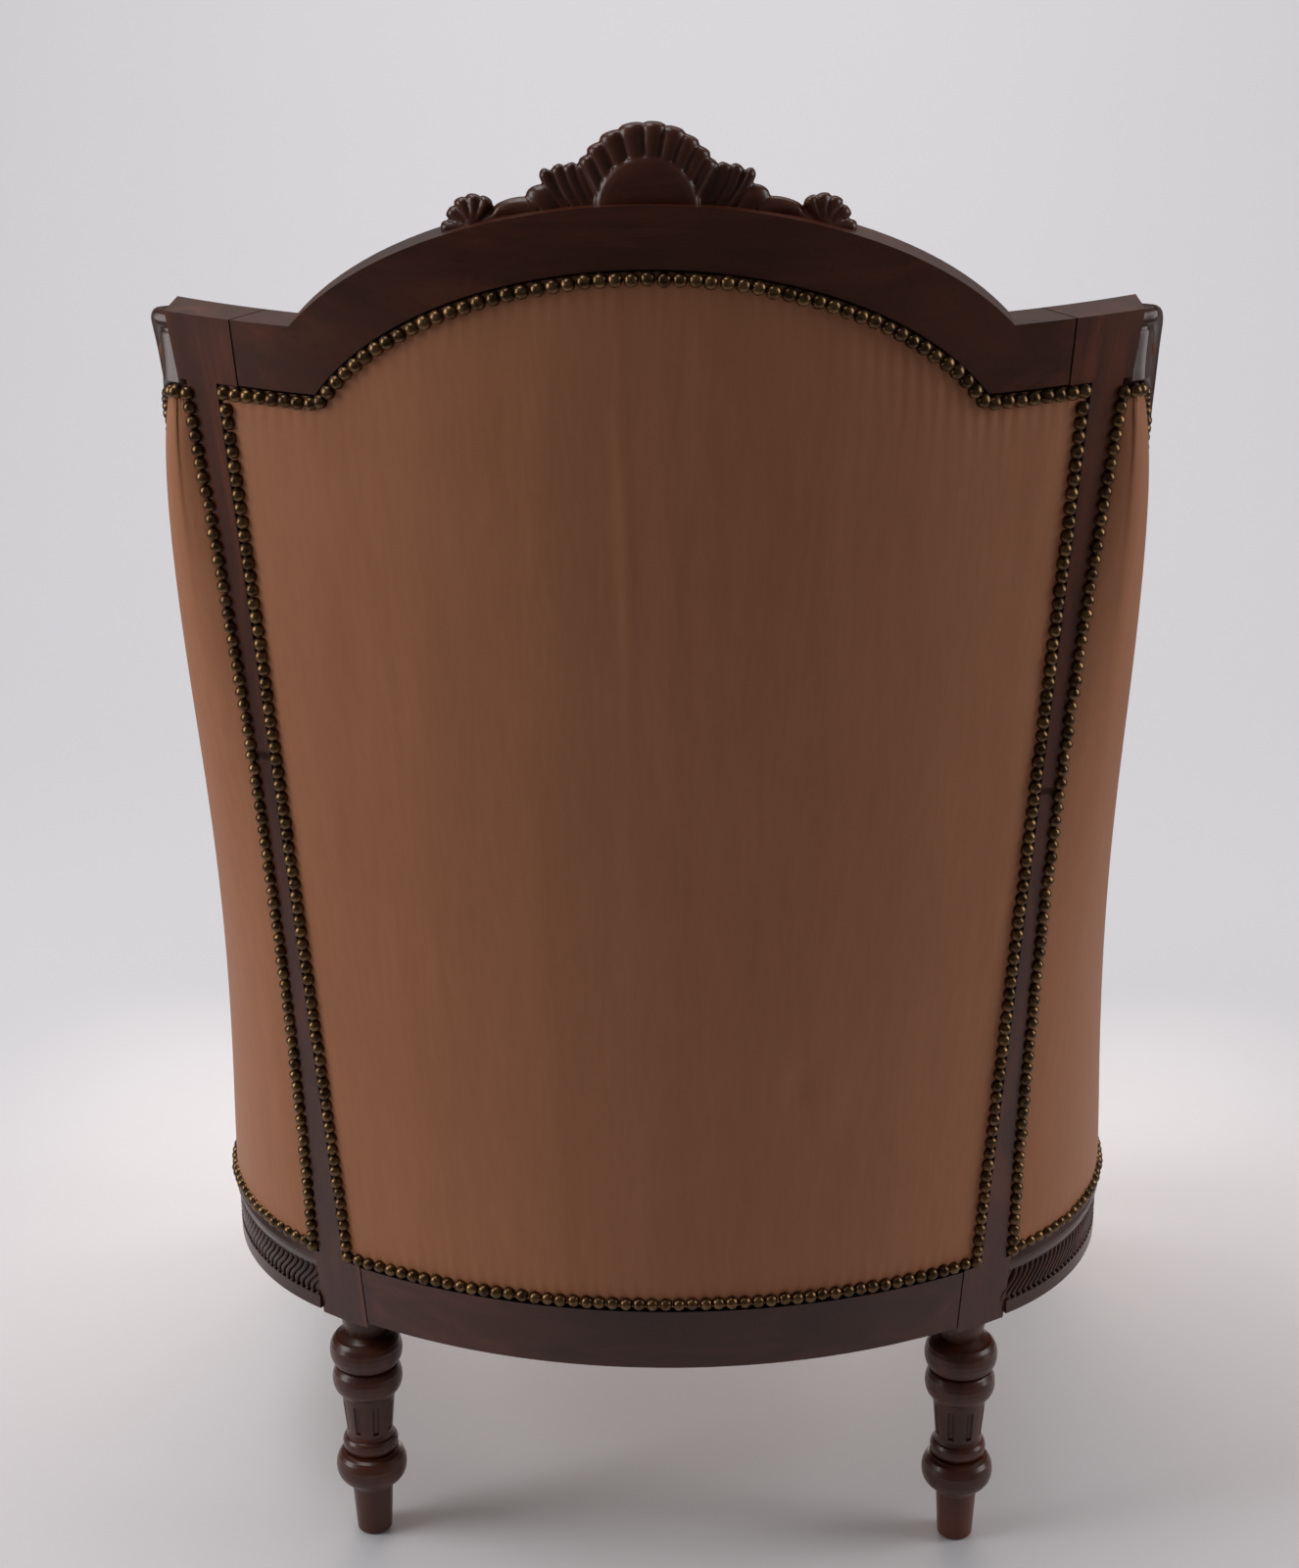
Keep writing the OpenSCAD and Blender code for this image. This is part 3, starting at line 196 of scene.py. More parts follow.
world = bpy.data.worlds.new("studio")
world.use_nodes = True
world.node_tree.nodes["Background"].inputs["Color"].default_value = (0.9, 0.9, 0.95, 1)
world.node_tree.nodes["Background"].inputs["Strength"].default_value = 0.12
scene.world = world
white, warm_white = (1.0, 1.0, 1.0), (1.0, 0.86, 0.76)
for name, place, aim, width, height, power, spread, colour in (
        ("left_softbox", (2.7, 0.75, 1.45), (0, 0.1, 0.6), 1.2, 2.0, 44, 180, white),
        ("right_softbox", (-2.7, 0.2, 1.5), (0, 0.1, 0.6), 1.2, 2.0, 35, 180, white),
        ("top_softbox", (0.9, 0.4, 3.2), (0, 0, 0.4), 1.2, 1.2, 26, 180, white),
        ("low_softbox", (0.0, -1.0, 0.34), (0, 0.1, 0.0), 1.3, 0.3, 2.0, 60, warm_white),
        ("paper_light", (0.0, -1.4, 3.6), (0, -3.4, 0.9), 4.0, 1.0, 90, 180, white)):
    lamp = bpy.data.lights.new(name, "AREA")
    lamp.shape = "RECTANGLE"
    lamp.size = width
    lamp.size_y = height
    lamp.energy = power
    lamp.spread = math.radians(spread)
    lamp.color = colour
    light = placed(name, lamp)
    light.location = place
    light.visible_camera = False
    light.rotation_euler = (Vector(aim) - Vector(place)).to_track_quat("-Z", "Y").to_euler()

# The camera stands behind the chair, a little to the sitter's right of its middle, above
# the crest and looking down at it, as the photograph was taken.
down, turned, rolled = (math.radians(v) for v in (21.0125, 1.7072, -0.4636))
forward = Vector((math.sin(turned) * math.cos(down), -math.cos(turned) * math.cos(down),
                  -math.sin(down)))
level = Vector((-math.cos(turned), -math.sin(turned), 0))
upright = level.cross(forward)
right = math.cos(rolled) * level + math.sin(rolled) * upright
above = math.cos(rolled) * upright - math.sin(rolled) * level
lens = bpy.data.cameras.new("camera")
lens.sensor_fit = "AUTO"
focal_in_pixels, photo_height = 2877.23, 1600
lens.sensor_width = 36.0
lens.lens = focal_in_pixels * lens.sensor_width / photo_height
camera = placed("camera", lens)
camera.matrix_world = (Matrix.Translation((-0.0490, 2.0433, 1.3458))
                       @ Matrix((right, above, -forward)).transposed().to_4x4())
scene.camera = camera
scene.view_settings.view_transform = "Standard"

# The show wood is mahogany, stained dark and polished: posts with their turned legs, crest
# rail, seat rails, wing rails, arms and arm supports. Its grain runs along each stick.
def mahogany(name, along, attribute=None, dirt_and_painted_shade=None, light=1.0):
    wood = Finish(name, attribute)
    stretch = tuple(1.0 if axis == along else 9.0 for axis in (0, 1, 2))
    at = wood.place(scale=stretch)
    figure = wood.noise(at, 3.2, 6, 0.62, 1.1)
    pores = wood.noise(wood.place(scale=tuple(3.0 if axis == along else 60.0
                                              for axis in (0, 1, 2))), 14, 3, 0.6)
    cloud = wood.noise(wood.place(), 5.0, 3, 0.5)
    # light scales the wood's colour: painted light, which makes lit and darker copies of the
    # same mahogany
    base = wood.ramp(figure, [
        (place, tuple(light * part for part in colour)) for place, colour in
        ((0.25, (0.013, 0.0034, 0.0016)), (0.5, (0.034, 0.0078, 0.0028)),
         (0.72, (0.074, 0.0160, 0.0046)))])
    worn = wood.blend(wood.steps(cloud, 0.42, 0.75) * 0.45, base,
                      (0.080 * light, 0.021 * light, 0.0080 * light))
    fine = wood.blend(wood.steps(pores, 0.55, 0.75) * 0.5, worn, (0.005, 0.002, 0.0015))
    if dirt_and_painted_shade:
        # A dark matt finish where the mask says: dirt in joints, painted shade in rebates and a
        # painted reflection band on the posts.
        matt = wood.nodes.new("ShaderNodeBsdfDiffuse")
        matt.inputs["Color"].default_value = (0.0040, 0.0026, 0.0020, 1.0)
        over = wood.nodes.new("ShaderNodeMixShader")
        wood.put(over.inputs[0], dirt_and_painted_shade(wood))
        wood.links.new(wood.surface.outputs[0], over.inputs[1])
        wood.links.new(matt.outputs[0], over.inputs[2])
        wood.links.new(over.outputs[0], wood.nodes["Material Output"].inputs["Surface"])
    height = figure * 0.4 + pores * 0.25
    return wood.finish(
        Base_Color=fine, Roughness=0.27 + cloud * 0.16, Normal=wood.bump(height, 0.0005, 0.35),
        Specular_IOR_Level=0.34, Coat_Weight=0.16, Coat_Roughness=0.12)


MM = 0.001
axis_y, seat_r, slope = -191.021, 461.0, 84.0 / 723.0
rail_show_top, frame_t = 254.0, 38.0
rail_joint, back_edge = math.radians(29.4), math.radians(31.1)
arch_foot, arch_half_w, arch_rise, arch_top = 938.5, 237.0, 161.0, 1027.0


def angle_from_middle(x, y):
    """How far a place is turned from the middle of the back, round the back's upright axis."""
    return x.math("ABSOLUTE", x.math("ARCTAN2", x, y - axis_y * MM))


def rail_joint_dirt_and_painted_shade(wood):
    """Dirt in the rails' joints with the posts, and painted shade along the edges of the back's
    cover.
    """
    x, y, z = wood.axes()
    angle = angle_from_middle(x, y)
    joint = (wood.steps(angle, rail_joint - 0.0036, rail_joint - 0.0013)
             * wood.steps(angle, rail_joint + 0.0069, rail_joint + 0.0019))
    # Painted shade: dark strips at the rear rail's top edge and under the crest rail's arch,
    # beside the cover.
    rail_edge = rail_show_top * MM
    under = (wood.steps(z, rail_edge - 0.0015, rail_edge - 0.0008)
             * wood.steps(z, rail_edge + 0.002, rail_edge + 0.001))
    inside = x.math("MAXIMUM", 1.0 - (x / (arch_half_w * MM)) ** 2.0, 0.0)
    arch = (arch_top - arch_rise) * MM + arch_rise * MM * inside ** 0.5
    over = wood.steps(z - x.math("MAXIMUM", arch, arch_foot * MM), 0.0018, 0.0008)
    return x.math("MAXIMUM", joint, x.math("MAXIMUM", under, over * wood.steps(z, 0.8, 0.9)))


def post_painted_reflection_and_shade(wood):
    """A painted dark reflection band across each rear post, and painted shade in the rebate
    along the back's cover.
    """
    x, y, z = wood.axes()
    # Painted reflection: a dark band where the varnish would mirror the horizon.
    mark_left, mark_right, mark_strength = 0.673, 0.648, 0.6
    left = x.math("GREATER_THAN", x, 0.0)
    ragged = wood.noise(wood.place(), 90, 3, 0.7) * 0.008
    away = x.math("ABSOLUTE",
                  z + ragged - 0.004 - left * mark_left - (1.0 - left) * mark_right)
    mark = wood.steps(away, 0.0040, 0.0016) * wood.steps(y, 0.0, 0.02) * mark_strength
    # Painted shade: a dark strip in the rebate beside the back's cover.
    low, high = rail_show_top * MM, arch_foot * MM
    rebate = (wood.steps(angle_from_middle(x, y), back_edge + 0.0038, back_edge + 0.0020)
              * wood.steps(z, low - 0.0005, low + 0.0005))
    return x.math("MAXIMUM", mark, rebate * wood.steps(z, high + 0.001, high))


# Painted light: the posts and legs are the most brightly painted copy, the crest and seat rails
# less so, the side rails not at all.
wood_upright = mahogany("mahogany_grain_upright", 2, dirt_and_painted_shade=post_painted_reflection_and_shade, light=1.8)
wood_across = mahogany("mahogany_grain_across", 0, dirt_and_painted_shade=rail_joint_dirt_and_painted_shade, light=1.2)
wood_forward = mahogany("mahogany_grain_forward", 1)


def dress(names, material):
    for name in names:
        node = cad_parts[name]
        node.data.materials.clear()
        node.data.materials.append(material)


dress(["rear_post_left", "rear_post_right", "front_leg_left", "front_leg_right"], wood_upright)
dress(["crest_rail", "rear_seat_rail", "front_seat_rail"], wood_across)
dress(["side_seat_rail_left", "side_seat_rail_right"], wood_forward)


def back_r(z):
    """Radius of the back's outside, which is part of an upright cone."""
    return seat_r + (z - 260.0) * slope


# The carved crest is one piece of mahogany, glued on the crest rail: a fluted shell behind a
# smooth dome, with a leaf of four blades, a scroll and a bud on each side of it.
crest_h, lobe_reach, lobe_rise, dome_fall = 1067.0, 43.4, 4.0, 3.4
petal_sides, dome_sides = 20, 40
crest_points, crest_faces = [], []


def crest_place(x, z, depth):
    r = back_r(z) - frame_t / 2 + depth
    return (x, axis_y + math.sqrt(r * r - x * x), z)


def tube(rings, sides, first=0, flip=False, joined=False):
    """Faces over rings of points, closed at both ends, or joined end to end."""
    total = rings * sides
    faces = []
    for i in range(rings if joined else rings - 1):
        for k in range(sides):
            a, b = i * sides + k, i * sides + (k + 1) % sides
            c, d = (b + sides) % total, (a + sides) % total
            faces.append((a, d, c, b) if flip else (a, b, c, d))
    if not joined:
        for end in (range(sides)[::-1], range(total - sides, total)):
            faces.append(end[::-1] if flip else end)
    return [tuple(first + k for k in face) for face in faces]


def full_turn(sides):
    """Cosine and sine of even angles round a full turn."""
    angles = [2 * math.pi * k / sides for k in range(sides)]
    return [(math.cos(a), math.sin(a)) for a in angles]


def petal(foot, tip, wide, deep, bend=0.0, square=2.4, mirrored=True):
    """A rounded body from its foot to its tip: half widths and half depths at both ends."""
    (x0, z0), (x1, z1) = foot, tip
    length = math.hypot(x1 - x0, z1 - z0)
    u = ((x1 - x0) / length, (z1 - z0) / length)
    sections = [k / 9 for k in range(8)]
    sections += [1 - wide[1] / length * (1 - math.sin(math.radians(a))) for a in
                 (10, 25, 40, 54, 66, 76, 83, 88)]
    sections = sorted(t for t in sections if t <= 1 - wide[1] / length or t > 7 / 9 - 0.2)
    rings = []
    for t in sections:
        left = (1 - t) * length / wide[1]
        end = (1 - (1 - min(left, 1)) ** square) ** (1 / square)
        w = (wide[0] + (wide[1] - wide[0]) * t) * max(end, 0.05)
        d = (deep[0] + (deep[1] - deep[0]) * t) * max(end, 0.08)
        away = bend * 4 * t * (1 - t)
        x, z = x0 + u[0] * length * t, z0 + u[1] * length * t
        rings.append([(x - u[1] * (w * c + away), z + u[0] * (w * c + away), d * s)
                      for c, s in full_turn(petal_sides)])
    for sign in ((1, -1) if mirrored else (1,)):
        crest_faces.extend(tube(len(rings), petal_sides, len(crest_points), flip=sign > 0))
        for ring in rings:
            crest_points.extend(crest_place(sign * x, z, d) for x, z, d in ring)


shell_lobes = ((-58, 5.0, 24, -3), (-46.5, 5.4, 19, 6), (-31, 6.6, 12, 12),
               (-12.6, 7.6, 4, 15), (6, 6.8, -2, 15), (23.2, 6.4, -8, 13),
               (37.5, 5.6, -14, 10), (50.5, 5.4, -20, 5), (61, 4.6, -25, -3))
for angle, wide, foot_x, foot_z in shell_lobes:
    way = (-math.sin(math.radians(angle)), math.cos(math.radians(angle)))
    petal((foot_x, crest_h + foot_z),
          (lobe_reach * way[0], crest_h + lobe_rise + lobe_reach * way[1]),
          (wide * 0.95, wide * 1.2), (10.6, 7.0), square=3.4, mirrored=False)
dome_front = [(2, -12.9), (12, -12.8), (20, -12.4), (25, -11.8), (28.5, -10.8), (30.6, -9.3),
              (31.6, -7.0)]
dome_rings = dome_front + [(r, -depth) for r, depth in dome_front[::-1]]
crest_faces += tube(len(dome_rings), dome_sides, len(crest_points), flip=True)
for r, depth in dome_rings:
    crest_points += [crest_place(r * c, crest_h - dome_fall + r * s, depth)
                     for c, s in full_turn(dome_sides)]
petal((31, crest_h - 14), (40, crest_h + 15), (13, 10), (6.4, 4.2), square=2.4)
for foot_x, tip_x, tip_z, wide, square in (
        (47, 63.0, 18.8, 3.6, 1.7), (40.5, 54.6, 21.2, 4.4, 2.6), (34.5, 47.2, 22.0, 4.6, 3.4),
        (28, 40.5, 22.4, 5.4, 3.4)):
    petal((foot_x, crest_h - 6), (tip_x, crest_h + tip_z), (wide * 1.15, wide),
          (7.4, 4.6), bend=-1.6, square=square)
petal((45, crest_h - 9), (56.5, crest_h + 2.5), (7, 6.5), (7, 5), square=2.2)
petal((57, crest_h - 14), (69.5, crest_h + 7.6), (10, 9.0), (8.5, 6.5), bend=2.5, square=2.2)
petal((66, crest_h - 8), (94, crest_h - 9), (9, 4.2), (7.5, 5), bend=3.0, square=2.2)
petal((82, crest_h - 12), (108, crest_h - 17), (6, 3.4), (6, 4.4), bend=1.0, square=2.2)
for tip_x, tip_z, wide in ((126.2, -19.5, 4.4), (121.6, -8.0, 4.6), (114.6, -0.2, 4.8),
                           (105.4, 2.6, 5.2), (96.6, 0.6, 4.8), (88.6, -8.4, 4.2)):
    petal((107, crest_h - 17), (tip_x, crest_h + tip_z), (3.4, wide), (6.8, 5.4), bend=0.8,
          square=3.0)
petal((107, crest_h - 22), (107, crest_h - 8.5), (8, 7), (7.2, 7.6), square=2.0)
carving = mesh_object("crest_carving_shell_and_leaves", np.array(crest_points) * MM,
                      crest_faces, wood_across)
remesh = carving.modifiers.new("one_piece", "REMESH")
remesh.mode = "VOXEL"
remesh.voxel_size = 0.00085
ease = carving.modifiers.new("ease", "SMOOTH")
ease.factor = 0.5
ease.iterations = 2


def settle(thing):
    """Replace an object's mesh by what its modifiers make of it."""
    bpy.context.view_layer.update()
    seen = thing.evaluated_get(bpy.context.evaluated_depsgraph_get())
    plain = bpy.data.meshes.new_from_object(seen)
    thing.modifiers.clear()
    thing.data = plain


def own(thing, node=None, body="chair"):
    """Attach a finished piece to its body, and hide the solid that it stands for."""
    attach(thing, body)
    if node:
        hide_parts(node)


settle(carving)
carving.data.shade_smooth()
own(carving, "crest_carving")

# The outside back is one piece of salmon satin over hessian, stretched from post to post
# and nailed into the rebates of the posts, the rear rail and the crest rail.
def satin(name, threads):
    cloth = Finish(name)
    at = cloth.place(scale=threads)
    streaks = cloth.noise(at, 260, 2, 0.6)
    slubs = cloth.noise(at, 60, 3, 0.6)
    across = cloth.noise(cloth.place(scale=tuple(1.02 - t for t in threads)), 420, 1, 0.5)
    cloud = cloth.noise(cloth.place(), 4.5, 3, 0.55)
    base = cloth.ramp(streaks * 0.45 + slubs * 0.55,
                      [(0.3, (0.297, 0.115, 0.051)), (0.5, (0.320, 0.126, 0.057)),
                       (0.7, (0.345, 0.138, 0.064))])
    faded = cloth.blend(cloth.steps(cloud, 0.45, 0.8) * 0.2, base, (0.39, 0.170, 0.088))
    return cloth.finish(
        Base_Color=faded, Roughness=0.48 + slubs * 0.16,
        Normal=cloth.bump(streaks * 0.5 + across * 0.3 + slubs * 0.4, 0.0004, 0.5),
        Specular_IOR_Level=0.24, Sheen_Weight=0.06, Sheen_Roughness=0.4,
        Sheen_Tint=(1.0, 0.92, 0.88, 1.0))


satin_upright = satin("satin_threads_upright", (1.0, 1.0, 0.02))


def panel(name, front, back, material):
    """A closed sheet between two grids of points of the same size."""
    rows, columns = front.shape[:2]
    points = np.concatenate([front.reshape(-1, 3), back.reshape(-1, 3)]) * MM
    index = np.arange(rows * columns).reshape(rows, columns)
    other = index + rows * columns
    faces = []
    for grid, flip in ((index, False), (other, True)):
        quads = np.stack([grid[:-1, :-1], grid[1:, :-1], grid[1:, 1:], grid[:-1, 1:]],
                         -1).reshape(-1, 4)
        faces += [tuple(q[::-1]) if flip else tuple(q) for q in quads.tolist()]
    edge = np.concatenate([index[0, :-1], index[:-1, -1], index[-1, :0:-1], index[:0:-1, 0]])
    for a, b in zip(edge.tolist(), np.roll(edge, -1).tolist()):
        faces.append((a, b, b + rows * columns, a + rows * columns))
    return mesh_object(name, points, faces, material)


def opening_top(x):
    """Height of the crest rail's lower edge over a place across the back."""
    reach = arch_half_w * math.sqrt(1 - ((arch_foot - arch_top + arch_rise) / arch_rise) ** 2)
    if abs(x) >= reach:
        return arch_foot
    return max(arch_foot, arch_top - arch_rise
               + arch_rise * math.sqrt(1 - (x / arch_half_w) ** 2))


nail_pitch, nail_w, nail_h = 9.6, 9.7, 5.2
edge_depth, cover_back = 1.6, 3.2


def nailed(edge, run, deep, puff, soft, tight=1.0):
    """How far a nailed cover stands out: puckers at the nails, and its padding."""
    pull = math.exp(-max(edge - 5, 0) / (9 * tight)) * min(edge / 6, 1)
    return (deep * tight * pull * math.cos(2 * math.pi * run / nail_pitch)
            + puff * (1 - math.exp(-edge / soft)))


def back_top(angle):
    z = 990.0
    for _ in range(30):
        z = 0.5 * z + 0.5 * opening_top(back_r(z) * math.sin(angle))
    return z


columns, rows = 231, 171
front, back = np.zeros((2, columns, rows, 3))
for i in range(columns):
    s = 2 * i / (columns - 1) - 1
    angle = (back_edge - 0.0006) * s
    top = back_top(angle) - 0.5
    low = rail_show_top + 2.0
    for j in range(rows):
        t = j / (rows - 1)
        t -= 0.12 * math.sin(2 * math.pi * t) / (2 * math.pi)
        z = low + (top - low) * t
        r = back_r(z)
        side = r * (back_edge - abs(angle))
        edge = min(side, top - z, z - low)
        run = z if side < min(top - z, z - low) else r * angle
        tight = 1.0 + 1.4 * math.exp(-(((r * angle + 175) / 60) ** 2 + ((z - 935) / 60) ** 2))
        x = r * math.sin(angle)
        creases = (0.9 * math.exp(-((x - 16 - 0.02 * (z - 870)) / 5) ** 2)
                   * math.exp(-((z - 860) / 110) ** 2)
                   - 0.7 * math.exp(-((x + 24) / 8) ** 2) * math.exp(-((z - 850) / 180) ** 2)
                   + 0.35 * math.sin(x / 31 + 1.1) * math.sin(z / 170)
                   + 0.25 * math.sin(x / 13 + z / 260))
        dent = -2.4 * math.exp(-(((x + 102) / 12) ** 2 + ((z - 440) / 22) ** 2))
        dent += 1.5 * math.exp(-(((x + 118) / 15) ** 2 + ((z - 432) / 30) ** 2))
        depth = (edge_depth - nailed(edge, run, 0.55, 1.9, 12, tight)
                 - (creases + dent) * min(edge / 25, 1))
        for grid, radius in ((front, r - depth), (back, r - cover_back)):
            grid[i, j] = (radius * math.sin(angle), axis_y + radius * math.cos(angle), z)
outside_back = panel("outside_back_satin", front, back, satin_upright)
own(outside_back, "outside_back_cover")


def cut_area(front):
    """Area of a sheet before it was stretched, in square metres."""
    across = np.cross(front[1:, :-1] - front[:-1, :-1], front[:-1, 1:] - front[:-1, :-1])
    return float(np.linalg.norm(across, axis=-1).sum()) * MM * MM


cut_area(front)

# The close-set nails have domed heads of antique bronze, driven side by side along every
# edge of the covers. Their patina is dark, and the tops are rubbed bright.
bronze = Finish("antique_bronze")
spots = bronze.noise(bronze.place(), 240, 3, 0.6)
patches = bronze.noise(bronze.place(), 55, 2, 0.5)
nail_finish = bronze.finish(
    Base_Color=bronze.blend(bronze.steps(spots * 0.6 + patches * 0.4, 0.35, 0.65),
                            (0.045, 0.024, 0.012), (0.20, 0.112, 0.048)),
    Metallic=0.9, Roughness=0.22 + spots * 0.16)


def row_tree():
    """A tree that stands one shape on every point of a row, turned by the row's directions."""
    tree = bpy.data.node_groups.new("row_of_shapes", "GeometryNodeTree")
    for name, kind, way in (("Row", "Geometry", "INPUT"), ("Shape", "Object", "INPUT"),
                            ("Width", "Float", "INPUT"), ("Length", "Float", "INPUT"),
                            ("Height", "Float", "INPUT"), ("Finish", "Material", "INPUT"),
                            ("Result", "Geometry", "OUTPUT")):
        tree.interface.new_socket(name, in_out=way, socket_type="NodeSocket" + kind)
    new, link = tree.nodes.new, tree.links.new
    given, result = new("NodeGroupInput"), new("NodeGroupOutput")
    shape = new("GeometryNodeObjectInfo")
    link(given.outputs["Shape"], shape.inputs["Object"])
    stored = {}
    for name, kind in (("outward", "FLOAT_VECTOR"), ("onward", "FLOAT_VECTOR"),
                       ("size", "FLOAT")):
        attribute = new("GeometryNodeInputNamedAttribute")
        attribute.data_type = kind
        attribute.inputs["Name"].default_value = name
        stored[name] = attribute.outputs["Attribute"]
    stand = new("FunctionNodeAlignRotationToVector")
    stand.axis = "Z"
    link(stored["outward"], stand.inputs["Vector"])
    turn = new("FunctionNodeAlignRotationToVector")
    turn.axis = "X"
    turn.pivot_axis = "Z"
    link(stand.outputs["Rotation"], turn.inputs["Rotation"])
    link(stored["onward"], turn.inputs["Vector"])
    scale = new("ShaderNodeCombineXYZ")
    for key, axis in (("Width", "X"), ("Length", "Y"), ("Height", "Z")):
        link(given.outputs[key], scale.inputs[axis])
    grow = new("ShaderNodeVectorMath")
    grow.operation = "SCALE"
    link(scale.outputs["Vector"], grow.inputs[0])
    link(stored["size"], grow.inputs["Scale"])
    stands = new("GeometryNodeInstanceOnPoints")
    link(given.outputs["Row"], stands.inputs["Points"])
    link(shape.outputs["Geometry"], stands.inputs["Instance"])
    link(turn.outputs["Rotation"], stands.inputs["Rotation"])
    link(grow.outputs["Vector"], stands.inputs["Scale"])
    real = new("GeometryNodeRealizeInstances")
    paint = new("GeometryNodeSetMaterial")
    link(stands.outputs["Instances"], real.inputs["Geometry"])
    link(real.outputs["Geometry"], paint.inputs["Geometry"])
    link(given.outputs["Finish"], paint.inputs["Material"])
    link(paint.outputs["Geometry"], result.inputs["Result"])
    return tree


shape_row = row_tree()


def stand_row(name, places, shape, width, length, height, material):
    """Places is a list of (point, outward, onward, size), in millimetres."""
    mesh = bpy.data.meshes.new(name + "_points")
    mesh.from_pydata([tuple(np.array(p[0]) * MM) for p in places], [], [])
    for key, column in (("outward", 1), ("onward", 2)):
        attribute = mesh.attributes.new(key, "FLOAT_VECTOR", "POINT")
        attribute.data.foreach_set(
            "vector", np.array([p[column] for p in places], np.float32).ravel())
    attribute = mesh.attributes.new("size", "FLOAT", "POINT")
    attribute.data.foreach_set("value", np.array([p[3] for p in places], np.float32))
    row = placed(name + "_row", mesh)
    modifier = row.modifiers.new("row", "NODES")
    modifier.node_group = shape_row
    values = {"Shape": shape, "Width": width * MM, "Length": length * MM,
              "Height": height * MM, "Finish": material}
    for item in shape_row.interface.items_tree:
        if item.in_out == "INPUT" and item.name in values:
            modifier[item.identifier] = values[item.name]
    bpy.context.view_layer.update()
    seen = row.evaluated_get(bpy.context.evaluated_depsgraph_get())
    plain = bpy.data.meshes.new_from_object(seen)
    for key in ("outward", "onward", "size"):
        if key in plain.attributes:
            plain.attributes.remove(plain.attributes[key])
    bpy.data.objects.remove(row)
    own(placed(name, plain))


def helper(name, points, faces):
    """A shape of unit size that rows are made of; it is removed when its rows stand."""
    mesh = bpy.data.meshes.new(name)
    mesh.from_pydata(points, [], faces)
    mesh.shade_smooth()
    return placed(name, mesh)


def turned_shape(name, profile, sides):
    """A small turned helper shape, from its rim up to its top, closed below."""
    points = [(r * c, r * s, z) for r, z in profile for c, s in full_turn(sides)]
    return helper(name, points, tube(len(profile), sides))


nail_head = turned_shape("nail_head", [(0.47, -0.25), (0.5, 0.04), (0.485, 0.3), (0.43, 0.57),
                                       (0.31, 0.81), (0.12, 0.97)], 12)
chance = np.random.default_rng(7)


def run_along(line):
    """Distance of each point of a line from its start, along the line."""
    steps = np.linalg.norm(np.diff(line, axis=0), axis=1)
    return np.concatenate([[0], np.cumsum(steps)])


def spaced(line, pitch, values=None):
    """Points at even places along a line, or what the values given for its points are there."""
    line = np.array(line, float)
    columns = (line if values is None else np.array(values, float)).T
    run = run_along(line)
    count = max(2, int(round(run[-1] / pitch)) + 1)
    return [np.array([np.interp(a, run, column) for column in columns])
            for a in np.linspace(0, run[-1], count)]


def back_point(angle, z):
    r = back_r(z)
    return (r * math.sin(angle), axis_y + r * math.cos(angle), z)


def back_outward(point):
    away = Vector((point[0], point[1] - axis_y, 0)).normalized()
    return (away.x, away.y, -slope)


nail_in, low_row_z, high_row_z = 4.6, 260.5, 932.0
left_line = [back_point(back_edge - nail_in / back_r(z), z)
             for z in np.linspace(low_row_z, high_row_z, 60)]
inner = back_edge - nail_in / back_r(high_row_z)
top_line = []
for angle in np.linspace(inner, -inner, 241):
    z = back_top(angle * 1.004) - nail_in
    for _ in range(8):
        x = back_r(z) * math.sin(angle)
        slant = (opening_top(x + 1) - opening_top(x - 1)) / 2
        z = 0.5 * z + 0.5 * (opening_top(x) - nail_in * math.sqrt(1 + slant * slant))
    top_line.append(back_point(angle, z))
low_angle = back_edge - nail_in / back_r(260)
low_line = [back_point(a, low_row_z) for a in np.linspace(-low_angle, low_angle, 80)]
left_nails = spaced(left_line, nail_pitch)[:-1]
ring = (left_nails + spaced(top_line, nail_pitch) + [p * (-1, 1, 1) for p in left_nails[::-1]]
        + spaced(low_line, nail_pitch)[1:-1])


def nails(name, places, outwards):
    made = []
    for place, away in zip(places, outwards):
        slip = chance.normal(0, 0.22, 3)
        tilt = Vector(away).normalized() + Vector(chance.normal(0, 0.05, 3))
        made.append((np.array(place) + slip, tuple(tilt.normalized()), (0, 0, 1),
                     1.0 + chance.normal(0, 0.02)))
    stand_row(name, made, nail_head, nail_w, nail_w, nail_h, nail_finish)


nails("outside_back_nails", ring, [back_outward(p) for p in ring])

# The wing rails and the arms are of the same mahogany. On each side one moulding with a
# rounded nose leaves the post, swoops down to the arm and ends in a scroll.
corner_start, corner_end, corner_r, side_taper = 34.2, 92.0, 200.0, 2.0
half_depth, front_y, arm_half_w = 363.739, -361.739, 364.0
rail_r = back_r(228.0)
corner_x = (rail_r - corner_r) * math.sin(math.radians(corner_start))
corner_y = axis_y + (rail_r - corner_r) * math.cos(math.radians(corner_start))
side_start_y = corner_y + corner_r * math.cos(math.radians(corner_end))
side_start_x = corner_x + corner_r * math.sin(math.radians(corner_end))
block_end = math.degrees(math.asin((261.0 - corner_x) / corner_r))
wing_under, arm_under = 935.0, 592.0
edge_foot_x, edge_flare, flare_foot_z = 258.454, 43.008, 241.0


def side_x(y):
    return side_start_x - (side_start_y - y) * math.tan(math.radians(side_taper))


def edge_x(z):
    """Where the post's outer edge is across the chair: it flares out towards the top."""
    share = max(0.0, z - flare_foot_z) / (wing_under - flare_foot_z)
    return edge_foot_x + edge_flare * share ** 2


def edge_y(z):
    return axis_y + math.sqrt(back_r(z) ** 2 - edge_x(z) ** 2)


